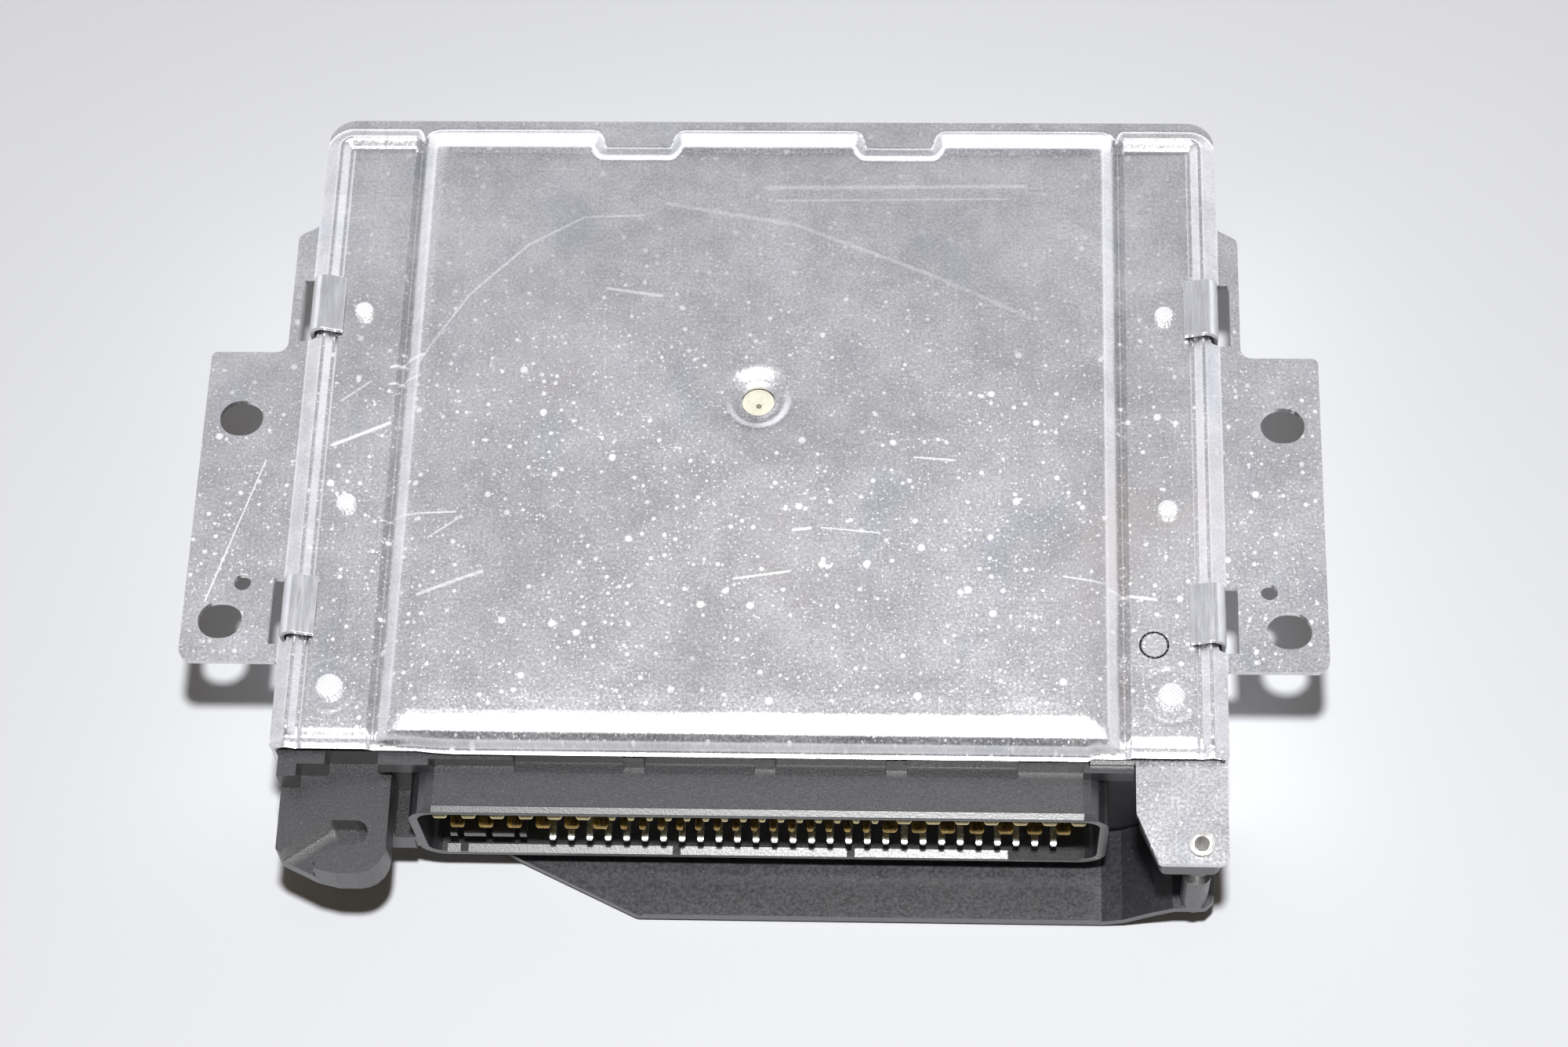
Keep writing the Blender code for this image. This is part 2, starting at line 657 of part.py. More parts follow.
def row_contacts(row):
    """(x, blade width) of every contact of a row, from left to right."""
    if row == "lower":
        span = (LOWER_NARROW - 1) * NARROW_PITCH
        start = ROW_CENTRE + LOWER_ROW_SHIFT - span / 2
        return [(start + k * NARROW_PITCH, NARROW_BLADE) for k in range(LOWER_NARROW)]
    narrow = UPPER_NARROW if row == "upper" else MIDDLE_NARROW
    step = WIDE_PITCH if row == "upper" else (WIDE_PITCH + NARROW_PITCH) / 2
    spots = []
    x = 0.0
    for count, pitch, blade in (
        (WIDE_LEFT, WIDE_PITCH, WIDE_BLADE),
        (narrow, NARROW_PITCH, NARROW_BLADE),
        (WIDE_RIGHT, WIDE_PITCH, WIDE_BLADE),
    ):
        for k in range(count):
            spots.append((x, blade))
            x += pitch if k < count - 1 else step
    middle = (spots[0][0] + spots[-1][0]) / 2
    return [(ROW_CENTRE + x - middle, blade) for x, blade in spots]


ROW_HEIGHTS = {
    "upper": UPPER_ROW_HEIGHT,
    "middle": MIDDLE_ROW_HEIGHT,
    "lower": LOWER_ROW_HEIGHT,
}
ROW_LEGS = {"upper": 11.0, "middle": 8.0, "lower": 5.0}


def contact_row(row, plastic):
    """A strip of contacts: L-shaped blades held side by side in one moulded bar."""
    z = ROW_HEIGHTS[row]
    half = BLADE_THICK / 2
    spots = row_contacts(row)
    front = HEADER_BACK + GAP
    back = front + 2.6
    bar = box(
        spots[0][0] - 3.0, spots[-1][0] + 3.0, front, back, z - ROW_PITCH * 0.4, z + ROW_PITCH * 0.4
    )
    obj = link(f"contact_row_{row}", bar)
    tip = RIM_Y + TIP_BEHIND_RIM
    leg = back + ROW_LEGS[row]
    foot = BOARD_TOP + GAP
    profile = [
        (tip, z - half * 0.4),
        (tip + 0.7, z - half),
        (leg - half, z - half),
        (leg - half, foot),
        (leg + half, foot),
        (leg + half, z + half),
        (tip + 0.7, z + half),
        (tip, z + half * 0.4),
    ]
    blades = [extrude(profile, "X", x - blade / 2, x + blade / 2) for x, blade in spots]
    work(obj, gather(blades), "UNION")
    return finish(obj, plastic)


def guide_outline():
    right = GUIDE_RIGHT
    front = FRONT_EDGE - GUIDE_REACH
    return rounded(
        [
            (GUIDE_LEFT, FRONT_EDGE + BITE),
            (GUIDE_LEFT, front + 4.1),
            (GUIDE_LEFT + 6.7, front + 0.9),
            (GUIDE_LEFT + 10.5, front),
            (right, front),
            (right, FRONT_EDGE + BITE),
        ],
        [0, 0.8, 1.0, 1.0, 5.0, 0],
        5,
    )


def groove_outline():
    """The groove that leads the plug's latch in, open at the bracket's outer corner."""
    left = GUIDE_LEFT
    front = FRONT_EDGE - GUIDE_REACH
    return rounded(
        [
            (left - OVER, front + 1.7),
            (left + 1.0, front + 3.8),
            (left + 9.1, front + 9.7),
            (left + 15.7, front + 9.7),
            (left + 15.7, front + 5.3),
            (left + 11.0, front + 5.1),
            (left + 6.4, front + 2.9),
            (left + 7.2, front + 1.6),
            (left + 5.0, front - OVER),
            (left - OVER, front - OVER),
        ],
        [0, 0, 1.0, 2.1, 2.1, 1.0, 0.4, 0, 0, 0],
        4,
    )


def hinge_limits(inset):
    """Right, front and left sides of the hinge corner, `inset` inside the metal plate's."""
    right = HALF_WIDTH - 0.3 - inset
    front = HINGE_Y - HINGE_FRONT_MARGIN + inset
    left = HINGE_X - HINGE_PLATE_LEFT + inset
    return right, front, left


def hinge_arm_outline(back):
    """Plan of the plastic arm under the hinge plate; it passes between the shell's walls."""
    right, front, left = hinge_limits(ARM_INSET)
    right = min(right, HEADER_HALF)
    return rounded(
        [
            (left, back),
            (left, FRONT_EDGE - HINGE_STRAIGHT),
            (left + HINGE_SLANT, front),
            (right - 0.6, front),
            (right, front + 1.5),
            (right, back),
        ],
        [0, 2.0, 1.2, 1.4, 1.4, 0],
        3,
    )


def rim_cut():
    """What the mould leaves off the rim: a chamfered upper lip and a lower lip further back."""
    top = SOCKET_TOP + SHROUD_TOP_WALL
    bottom = SOCKET_FLOOR - SHROUD_FLOOR_WALL
    dy, dz = RIM_CHAMFER
    outline = [
        (RIM_Y - OVER, top + OVER),
        (RIM_Y + dy, top + OVER),
        (RIM_Y + dy, top),
        (RIM_Y, top - dz),
        (RIM_Y, SOCKET_TOP - GAP),
        (LOWER_RIM_Y, SOCKET_FLOOR),
        (LOWER_RIM_Y, bottom - OVER),
        (RIM_Y - OVER, bottom - OVER),
    ]
    beyond = SHROUD_SIDE_WALL + OVER / 4
    return extrude(outline, "X", SOCKET_LEFT - beyond, SOCKET_RIGHT + beyond)


def floor_chamfers():
    """Cutters for the lead-in chamfer of the socket's floor, between its uncut lands."""
    dy, dz = FLOOR_CHAMFER
    steep = SOCKET_RIGHT - STEEP_END
    marks = [SOCKET_LEFT + SOCKET_CORNER]
    for land in FLOOR_LANDS:
        marks += [SOCKET_LEFT + land - LAND_WIDTH / 2, SOCKET_LEFT + land + LAND_WIDTH / 2]
    marks += [steep, steep + GAP, SOCKET_RIGHT - SOCKET_CORNER]
    cutters = []
    for x0, x1 in zip(marks[::2], marks[1::2]):
        drop = dz * 2 if x0 > steep else dz
        outline = [
            (LOWER_RIM_Y + dy, SOCKET_FLOOR),
            (LOWER_RIM_Y + dy, SOCKET_FLOOR + OVER),
            (LOWER_RIM_Y - dy, SOCKET_FLOOR + OVER),
            (LOWER_RIM_Y - dy, SOCKET_FLOOR - drop * 2),
        ]
        cutters.append(extrude(outline, "X", x0, x1))
    return cutters


def top_pockets():
    """Cutters for the shallow pockets behind the shroud's top."""
    top = SOCKET_TOP + SHROUD_TOP_WALL
    first = SOCKET_LEFT + POCKET_START
    cutters = []
    for k in range(TOP_POCKETS):
        x = first + k * POCKET_PITCH
        deep = (FRONT_EDGE - LEDGE_REACH, FRONT_EDGE, top - POCKET_DEPTH, LEDGE_TOP + OVER)
        cutters.append(box(x, x + POCKET_LENGTH, *deep))
    return cutters


def coding_bars():
    """Blank bars in the lower row that keep a wrong plug out."""
    half = BLADE_THICK
    tip = RIM_Y + CODING_BAR_TIP
    return [
        box(
            SOCKET_LEFT + x - reach, SOCKET_LEFT + x + reach, tip, FRONT_EDGE + BITE,
            LOWER_ROW_HEIGHT - half, LOWER_ROW_HEIGHT + half,
        )
        for x, reach in CODING_BARS
    ]


def connector_housing(material):
    low = SHELL_SHEET + GAP
    wall = box(-HEADER_HALF, HEADER_HALF, FRONT_EDGE, HEADER_BACK, low, SHELL_TOP)
    obj = link("connector_housing", wall)

    outer = rectangle(
        SOCKET_LEFT - SHROUD_SIDE_WALL,
        SOCKET_RIGHT + SHROUD_SIDE_WALL,
        SOCKET_FLOOR - SHROUD_FLOOR_WALL,
        SOCKET_TOP + SHROUD_TOP_WALL,
        SOCKET_CORNER + SHROUD_SIDE_WALL,
        5,
    )
    work(obj, extrude(outer, "Y", RIM_Y, FRONT_EDGE + BITE), "UNION")

    under = GUIDE_TOP - GUIDE_THICK
    work(obj, extrude(guide_outline(), "Z", under, GUIDE_TOP), "UNION")
    web_top = LOWER_ROW_HEIGHT + 2.0
    web = box(
        GUIDE_RIGHT - 2.0, SOCKET_LEFT, FRONT_EDGE - RIM_REACH * 0.9, FRONT_EDGE + BITE,
        web_top - 5.0, web_top,
    )
    work(obj, web, "UNION")
    strut = box(
        GUIDE_RIGHT - 2.0, GUIDE_RIGHT - 0.4, FRONT_EDGE - RIM_REACH * 0.9, FRONT_EDGE + BITE,
        web_top - 1.0, under + BITE,
    )
    work(obj, strut, "UNION")

    # The strips under the cover's front edge reach the bracket and stop short of the hinge
    ledges = [
        (GUIDE_LEFT, GUIDE_LEFT + LEDGE_WIDTHS[1], LEDGE_REACH, GUIDE_TOP - BITE),
        (GUIDE_LEFT, GUIDE_LEFT + LEDGE_WIDTHS[0], LEDGE_REACH * 2, GUIDE_TOP - BITE),
        (GUIDE_LEFT + LEDGE_START, SOCKET_LEFT + 2.2, LEDGE_REACH, SOCKET_TOP + BITE),
        (SOCKET_LEFT + 2.0, SOCKET_RIGHT - 2.0, LEDGE_REACH / 2, SOCKET_TOP + BITE),
        (SOCKET_RIGHT - 3.0, HINGE_X - HINGE_PLATE_LEFT - GAP, LEDGE_REACH, SOCKET_TOP + BITE),
    ]
    for x0, x1, reach, bottom in ledges:
        ledge = box(x0, x1, FRONT_EDGE - reach, FRONT_EDGE + BITE, bottom, LEDGE_TOP)
        work(obj, ledge, "UNION")

    arm = extrude(hinge_arm_outline(FRONT_EDGE + BITE), "Z", ARM_TOP - ARM_THICK, ARM_TOP)
    work(obj, arm, "UNION")
    boss = disc(HINGE_X, HINGE_Y, HINGE_BOSS_RADIUS)
    work(obj, extrude(boss, "Z", HINGE_SLOT_TOP, ARM_TOP - BITE), "UNION")

    # Socket, slits for the contacts, latch groove, plate seat and eyelet hole
    hollow = rectangle(SOCKET_LEFT, SOCKET_RIGHT, SOCKET_FLOOR, SOCKET_TOP, SOCKET_CORNER, 5)
    cuts = [extrude(hollow, "Y", RIM_Y - OVER, FRONT_EDGE - GAP)]
    for row, z in ROW_HEIGHTS.items():
        spots = row_contacts(row)
        reach = BLADE_THICK / 2 + GAP
        x0, x1 = spots[0][0] - WIDE_BLADE / 2 - GAP, spots[-1][0] + WIDE_BLADE / 2 + GAP
        cuts.append(box(x0, x1, FRONT_EDGE - 1.0, HEADER_BACK + OVER, z - reach, z + reach))
    work(obj, cuts[0], "DIFFERENCE")
    work(obj, gather(cuts[1:]), "DIFFERENCE")

    groove = extrude(groove_outline(), "Z", GUIDE_TOP - GROOVE_DEPTH, GUIDE_TOP + OVER)
    seat = box(
        HINGE_X - HINGE_TONGUE - GAP, HEADER_HALF + OVER, FRONT_EDGE - OVER, HEADER_BACK + OVER,
        ARM_TOP, SHELL_TOP + OVER,
    )
    hole = extrude(
        disc(HINGE_X, HINGE_Y, EYELET_SHANK_RADIUS + GAP, 20),
        "Z", HINGE_SLOT_TOP - OVER, ARM_TOP + OVER,
    )
    work(obj, gather([groove, seat, hole]), "DIFFERENCE")

    work(obj, gather(coding_bars()), "UNION")
    work(obj, rim_cut(), "DIFFERENCE")
    work(obj, gather(floor_chamfers() + top_pockets()), "DIFFERENCE")
    return finish(obj, material)


def height_on(line, x):
    """Height at `x` of a line given by its corners from left to right."""
    for (x0, z0), (x1, z1) in zip(line, line[1:]):
        if x <= x1:
            return z0 + (z1 - z0) * (x - x0) / (x1 - x0)
    return line[-1][1]


def connector_guard(material):
    """Guard plate under the socket; its right end rises to carry the lower hinge boss."""
    near = FRONT_EDGE - GAP
    front = FRONT_EDGE - GUARD_REACH
    right = HALF_WIDTH - 1.3
    ramp = SOCKET_RIGHT + SHROUD_SIDE_WALL
    way = right - ramp
    slant = min(GUARD_SLANT, (ramp - SOCKET_LEFT) / 2)
    low, thick = GUARD_LIFT, GUARD_SHEET
    rise = GUARD_RAMP_RISE
    climb = ((-3.0, 0.0), (0.0, 0.0), (0.19, 0.15), (0.45, 0.65), (0.64, 0.95), (1.2, 1.0))
    under = [(ramp + along * way, low + share * rise) for along, share in climb]
    under[0] = (-HALF_WIDTH, low)
    upper = [(x - 0.4, z + thick) for x, z in reversed(under)]
    obj = link("connector_guard", extrude(under + upper, "Y", front - OVER, near))
    plan = rounded(
        [
            (SOCKET_LEFT + SHROUD_SIDE_WALL, near),
            (SOCKET_LEFT + SHROUD_SIDE_WALL + slant, front),
            (right - 1.5, front),
            (right, front + 1.5),
            (right, near),
        ],
        [0, 2.0, 1.0, 1.0, 0],
        3,
    )
    work(obj, extrude(plan, "Z", low - OVER, low + rise + thick + OVER), "INTERSECT")
    wide, high = GUARD_BEAD
    start = SOCKET_LEFT + SHROUD_SIDE_WALL + slant + wide
    bead = box(start, ramp - wide, front, front + wide, low + GAP, low + thick + high)
    work(obj, bead, "UNION")
    root = SOCKET_FLOOR - SHROUD_FLOOR_WALL - GAP
    work(obj, box(SOCKET_LEFT + 4.0, ramp - 1.0, near - thick, near, low + 0.2, root), "UNION")
    floor = height_on(under, HINGE_X)
    boss = disc(HINGE_X, HINGE_Y, HINGE_BOSS_RADIUS)
    top = HINGE_SLOT_TOP - HINGE_SLOT_HEIGHT
    work(obj, extrude(boss, "Z", floor + 0.4, top), "UNION")
    gusset = [
        (HINGE_Y + HINGE_BOSS_RADIUS - BITE, floor + BITE),
        (near, floor + BITE),
        (near, floor + BITE + 9.0),
        (HINGE_Y + HINGE_BOSS_RADIUS - BITE, top - 3.0),
    ]
    work(obj, extrude(gusset, "X", HINGE_X - 0.9, HINGE_X + 0.9), "UNION")
    return finish(obj, material)


def hinge_plate(material):
    back = HEADER_BACK
    right, front, left = hinge_limits(0.0)
    inner = HEADER_HALF
    outline = rounded(
        [
            (HINGE_X - HINGE_TONGUE, back),
            (HINGE_X - HINGE_TONGUE, FRONT_EDGE - 0.3),
            (left, FRONT_EDGE - 0.3),
            (left, FRONT_EDGE - HINGE_STRAIGHT),
            (left + HINGE_SLANT, front),
            (right - 0.6, front),
            (right, front + 1.5),
            (right, FRONT_EDGE - 0.3),
            (inner, FRONT_EDGE - 0.3),
            (inner, back),
        ],
        [0, 0, 0.25, 2.0, 1.2, 1.4, 1.4, 0, 0, 0],
        3,
    )
    obj = link("hinge_plate", extrude(outline, "Z", PLATE_UNDER, PLATE_TOP))
    hole = disc(HINGE_X, HINGE_Y, EYELET_SHANK_RADIUS + GAP, 20)
    work(obj, extrude(hole, "Z", PLATE_UNDER - OVER, PLATE_TOP + OVER), "DIFFERENCE")
    return finish(obj, material)


def hinge_eyelet(material):
    top = PLATE_TOP + GAP
    profile = [
        (EYELET_BORE_RADIUS, HINGE_SLOT_TOP + 0.4),
        (EYELET_SHANK_RADIUS, HINGE_SLOT_TOP + 0.4),
        (EYELET_SHANK_RADIUS, top),
        (EYELET_HEAD_RADIUS, top),
        (EYELET_HEAD_RADIUS - 0.15, top + 0.45),
        (EYELET_HEAD_RADIUS - 0.6, top + 0.6),
        (EYELET_BORE_RADIUS, top + 0.2),
    ]
    return finish(link("hinge_eyelet", lathe(HINGE_X, HINGE_Y, profile)), material, True)


def rail_rivets(material):
    seat = FLANGE_HEIGHT + CHANNEL_RISE + GAP
    tail = RAIL_FLANGE_TOP - RAIL_FLANGE_THICK + 0.2
    count = 0
    for sign in (-1, 1):
        for y, head in zip(RIVET_ROWS, RIVET_HEADS):
            count += 1
            profile = [
                (0.0, tail),
                (RIVET_SHANK_RADIUS, tail),
                (RIVET_SHANK_RADIUS, seat),
                (head, seat),
                (head, seat + 0.6),
                (head - 0.35, seat + 0.9),
                (0.0, seat + 0.95),
            ]
            finish(link(f"rail_rivet_{count}", lathe(sign * CHANNEL_X, y, profile, 20)), material, True)


def rail_ends():
    return FRONT_EDGE + 6.5, BACK_EDGE - 13.0


def screw_spots():
    front, back = rail_ends()
    return front + 9.0, back - 9.0


def heat_rail(side, material):
    """An extruded rail: flange riveted under the channel, web standing on the board."""
    sign = -1 if side == "left" else 1
    top = RAIL_FLANGE_TOP
    inner = CHANNEL_X - RAIL_FLANGE_WIDTH / 2
    outer = CHANNEL_X + RAIL_FLANGE_WIDTH / 2
    under = top - RAIL_FLANGE_THICK
    foot = BOARD_TOP + GAP
    profile = rounded(
        [
            (sign * RAIL_FACE, foot),
            (sign * outer, foot),
            (sign * outer, top),
            (sign * inner, top),
            (sign * inner, under),
            (sign * RAIL_FACE, under),
        ],
        [0.4, 0.4, 0.4, 0.6, 0.6, 1.5],
        2,
    )
    front, back = rail_ends()
    obj = link(f"heat_rail_{side}", extrude(profile, "Y", front, back))
    cuts = [
        extrude(disc(sign * CHANNEL_X, y, RIVET_SHANK_RADIUS + GAP, 16), "Z", under - OVER, top + OVER)
        for y in RIVET_ROWS
    ]
    web = sign * (RAIL_FACE + RAIL_WEB / 2)
    for y in screw_spots():
        hole = disc(web, y, SCREW_RADIUS + GAP, 16)
        cuts.append(extrude(hole, "Z", foot - OVER, foot + 7.0))
    work(obj, gather(cuts), "DIFFERENCE")
    return finish(obj, material)


def power_transistors(side, first, material):
    sign = -1 if side == "left" else 1
    face = RAIL_FACE - GAP
    near, far = -TRANSISTOR_HALF, TRANSISTOR_HALF
    for k, y in enumerate(TRANSISTOR_SPOTS):
        floor = BOARD_TOP + GAP
        ends = sorted((sign * face, sign * (face - TRANSISTOR_DEEP)))
        under = floor + TRANSISTOR_LEG
        top = under + TRANSISTOR_BODY
        body = box(*ends, y + near, y + far, under, top)
        obj = link(f"power_transistor_{first + k}", body)
        legs = []
        middle = sign * (face - 1.9)
        for step in (-2.54, 0.0, 2.54):
            legs.append(box(middle - 0.3, middle + 0.3, y + step - 0.5, y + step + 0.5,
                            floor, under + BITE))
        ends = sorted((sign * face, sign * (face - 1.3)))
        legs.append(box(*ends, y + near, y + far, top - BITE, top + TRANSISTOR_TAB))
        work(obj, gather(legs), "UNION")
        finish(obj, material)


def transistor_clip(side, material):
    """A spring strip hooked on the rail's web and pressing the transistors to it."""
    sign = -1 if side == "left" else 1
    face = RAIL_FACE - GAP
    out = CLIP_FACE
    floor = BOARD_TOP + GAP
    top = floor + TRANSISTOR_LEG + TRANSISTOR_BODY + TRANSISTOR_TAB + GAP
    path = [
        (face, top),
        (face, top + 0.7),
        (out - 0.2, top + 0.7),
        (out - 1.1, top - 0.6),
        (out - 0.7, floor + 8.0),
        (out - CLIP_BULGE, floor + 5.6),
        (out - 0.9, floor + 5.2),
        (out, floor + 8.0),
        (out - 0.3, top - 0.4),
        (out, top),
    ]
    ends = TRANSISTOR_HALF + 1.0
    front, back = TRANSISTOR_SPOTS[0] - ends, TRANSISTOR_SPOTS[-1] + ends
    outline = [(sign * u, v) for u, v in path]
    return finish(link(f"transistor_clip_{side}", extrude(outline, "Y", front, back)), material)


def circuit_board(material):
    half = INSIDE_HALF - BOARD_SIDE_PLAY
    outline = rounded(rectangle(-half, half, BOARD_FRONT, BOARD_BACK), 2.0, 3)
    obj = link("circuit_board", extrude(outline, "Z", BOARD_UNDER, BOARD_TOP))
    web = RAIL_FACE + RAIL_WEB / 2
    cuts = [
        extrude(disc(sign * web, y, SCREW_RADIUS + GAP, 16), "Z", BOARD_UNDER - OVER, BOARD_TOP + OVER)
        for sign in (-1, 1)
        for y in screw_spots()
    ]
    work(obj, gather(cuts), "DIFFERENCE")
    return finish(obj, material)


def board_screws(material):
    web = RAIL_FACE + RAIL_WEB / 2
    seat = BOARD_UNDER - GAP
    tip = BOARD_TOP + GAP + 6.0
    count = 0
    for sign in (-1, 1):
        for y in screw_spots():
            count += 1
            profile = [
                (0.0, seat - 1.7),
                (1.5, seat - 1.7),
                (2.3, seat - 1.2),
                (2.4, seat),
                (SCREW_RADIUS, seat),
                (SCREW_RADIUS, tip - 0.6),
                (SCREW_RADIUS * 0.6, tip),
                (0.0, tip),
            ]
            finish(link(f"board_screw_{count}", lathe(sign * web, y, profile, 16)), material, True)


def chip(name, cx, cy, wide, deep, tall, material, corner=1.2):
    floor = BOARD_TOP + GAP
    outline = [
        (cx - wide / 2 + corner, cy - deep / 2),
        (cx + wide / 2, cy - deep / 2),
        (cx + wide / 2, cy + deep / 2),
        (cx - wide / 2, cy + deep / 2),
        (cx - wide / 2, cy - deep / 2 + corner),
    ]
    obj = link(name, extrude(outline, "Z", floor, floor + tall))
    bevel(obj, 0.3)
    return finish(obj, material)


def memory_set(cx, cy, socket_material, chip_material):
    """A memory chip lying in its open-topped socket."""
    floor = BOARD_TOP + GAP
    wide, deep = (side / 2 for side in MEMORY_SOCKET)
    obj = link("memory_socket", box(cx - wide, cx + wide, cy - deep, cy + deep, floor, floor + 6.0))
    wide, deep = (side / 2 for side in MEMORY_CHIP)
    play = (cx - wide - GAP, cx + wide + GAP, cy - deep - GAP, cy + deep + GAP)
    work(obj, box(*play, floor + 2.0, floor + 6.0 + OVER), "DIFFERENCE")
    finish(obj, socket_material)
    seat = floor + 2.0 + GAP
    body = box(cx - wide, cx + wide, cy - deep, cy + deep, seat, seat + 3.0)
    obj = link("memory_chip", body)
    bevel(obj, 0.3)
    finish(obj, chip_material)


def capacitor(name, cx, cy, radius, tall, material):
    floor = BOARD_TOP + GAP
    profile = [
        (0.0, floor),
        (radius, floor),
        (radius, floor + 1.6),
        (radius - 0.4, floor + 2.1),
        (radius, floor + 2.6),
        (radius, floor + tall - 0.5),
        (radius - 0.5, floor + tall),
        (0.0, floor + tall),
    ]
    return finish(link(name, lathe(cx, cy, profile)), material, True)


def crystal_can(cx, cy, material):
    floor = BOARD_TOP + GAP
    outline = obround(cx, cy, 11.0, 4.6, 6)
    obj = link("crystal_can", extrude(outline, "Z", floor, floor + 4.2))
    bevel(obj, 0.3, angle=60.0)
    return finish(obj, material)


def choke(cx, cy, material):
    floor = BOARD_TOP + GAP
    profile = []
    for k in range(10):
        a = 2 * math.pi * k / 10
        profile.append((CHOKE_RING + CHOKE_WINDING * math.cos(a), floor + 3.0 + 3.0 * math.sin(a)))
    return finish(link("choke_ring", lathe(cx, cy, profile, 20)), material, True)


def pressure_sensor(material):
    """Sensor on the board whose cream nozzle looks out of the hole in the cover's dimple."""
    floor = BOARD_TOP + GAP
    top = FLANGE_HEIGHT + PAN_RISE - DIMPLE_DROP - COVER_SHEET - GAP
    half = SENSOR_HALF
    body = rectangle(-half, half, DIMPLE_Y - half, DIMPLE_Y + half)
    obj = link("pressure_sensor", extrude(body, "Z", floor, floor + 7.0))
    nozzle = [
        (0.0, floor + 7.0 - BITE),
        (3.4, floor + 7.0 - BITE),
        (3.0, top - 3.0),
        (4.0, top - 2.0),
        (4.0, top - 0.3),
        (3.7, top),
        (0.5, top),
        (0.5, top - 3.0),
        (0.0, top - 3.0),
    ]
    work(obj, lathe(0.0, DIMPLE_Y, nozzle), "UNION")
    return finish(obj, material)


def build():
    clear_scene()
    aluminium = make_material("aluminium_sheet", (0.62, 0.62, 0.63), 1.0, 0.38)
    shell_metal = make_material("aluminium_shell", (0.60, 0.60, 0.61), 1.0, 0.42)
    rail_metal = make_material("aluminium_rail", (0.66, 0.66, 0.67), 1.0, 0.35)
    rivet_metal = make_material("rivet_aluminium", (0.75, 0.75, 0.76), 1.0, 0.30)
    steel = make_material("spring_steel", (0.55, 0.56, 0.58), 1.0, 0.30)
    plastic = make_material("black_plastic", (0.022, 0.022, 0.024), 0.0, 0.5)
    contact = make_material("contact_metal", (0.80, 0.62, 0.32), 1.0, 0.30)
    rubber = make_material("gasket_rubber", (0.03, 0.03, 0.03), 0.0, 0.8)
    laminate = make_material("board_laminate", (0.03, 0.16, 0.07), 0.0, 0.5)
    epoxy = make_material("chip_epoxy", (0.02, 0.02, 0.02), 0.0, 0.6)
    can = make_material("capacitor_sleeve", (0.05, 0.07, 0.20), 0.0, 0.45)
    ferrite = make_material("choke_lacquer", (0.42, 0.16, 0.06), 0.0, 0.5)
    cream = make_material("cream_plastic", (0.78, 0.74, 0.64), 0.0, 0.5)

    mounting_cover(aluminium)
    case_shell(shell_metal)
    cover_gasket(rubber)
    connector_housing(plastic)
    connector_guard(plastic)
    for row in ROW_HEIGHTS:
        contact_row(row, contact)
    hinge_plate(shell_metal)
    hinge_eyelet(rivet_metal)
    rail_rivets(rivet_metal)
    for number, side in enumerate(("left", "right")):
        heat_rail(side, rail_metal)
        power_transistors(side, number * len(TRANSISTOR_SPOTS) + 1, epoxy)
        transistor_clip(side, steel)
    circuit_board(laminate)
    board_screws(steel)
    beside = SENSOR_HALF + PART_CLEARANCE
    column = beside + PROCESSOR_SIDE / 2
    chip("processor", column, DIMPLE_Y, PROCESSOR_SIDE, PROCESSOR_SIDE, 3.6, epoxy, 2.0)
    memory_set(column, BOARD_BACK - BACK_ROW, epoxy, epoxy)
    for number, x in enumerate(DRIVER_SPOTS, 1):
        chip(f"driver_chip_{number}", x, BOARD_FRONT + DRIVER_BACK, *DRIVER_CHIP, 3.0, epoxy)
    limit = CLIP_FACE - CLIP_BULGE - CLIP_CLEARANCE
    spots = zip(CAPACITOR_SPOTS, CAPACITOR_SIZES)
    for number, (share, (radius, tall)) in enumerate(spots, 1):
        y = BOARD_FRONT + share * (BOARD_BACK - BOARD_FRONT)
        capacitor(f"filter_capacitor_{number}", radius - limit, y, radius, tall, can)
    crystal_can(0.0, DIMPLE_Y - beside, steel)
    choke(-beside - CHOKE_RING - CHOKE_WINDING, BOARD_BACK - BACK_ROW, ferrite)
    pressure_sensor(cream)


build()
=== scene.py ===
"""Engine control unit: a pressed aluminium case with a three-row plug header, on a studio table.

Lengths in the code are millimetres unless a property says otherwise. X runs across the plug
face, Y from the plug face to the back, and Z up from the table. Y is counted from the line
of the front fixing slots; `place` moves it to the frame's origin.
"""

import math

import bmesh
import bpy
from bpy.props import FloatProperty, FloatVectorProperty, IntProperty, PointerProperty
from mathutils import Matrix, Vector
from mathutils.geometry import delaunay_2d_cdt


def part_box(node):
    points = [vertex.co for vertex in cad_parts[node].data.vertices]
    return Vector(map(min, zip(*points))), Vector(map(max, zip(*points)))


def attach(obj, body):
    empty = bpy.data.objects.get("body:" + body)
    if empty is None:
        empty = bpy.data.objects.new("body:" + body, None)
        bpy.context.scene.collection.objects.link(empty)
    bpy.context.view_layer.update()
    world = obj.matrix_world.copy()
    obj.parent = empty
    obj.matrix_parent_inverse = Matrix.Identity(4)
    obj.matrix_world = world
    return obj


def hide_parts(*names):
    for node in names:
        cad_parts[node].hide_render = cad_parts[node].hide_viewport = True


bl_info = {
    "name": "Engine control unit",
    "version": (1, 0, 0),
    "blender": (4, 5, 0),
    "location": "3D View > Sidebar > Control unit",
    "description": "Builds a pressed aluminium engine control unit and its studio table",
    "category": "Object",
}

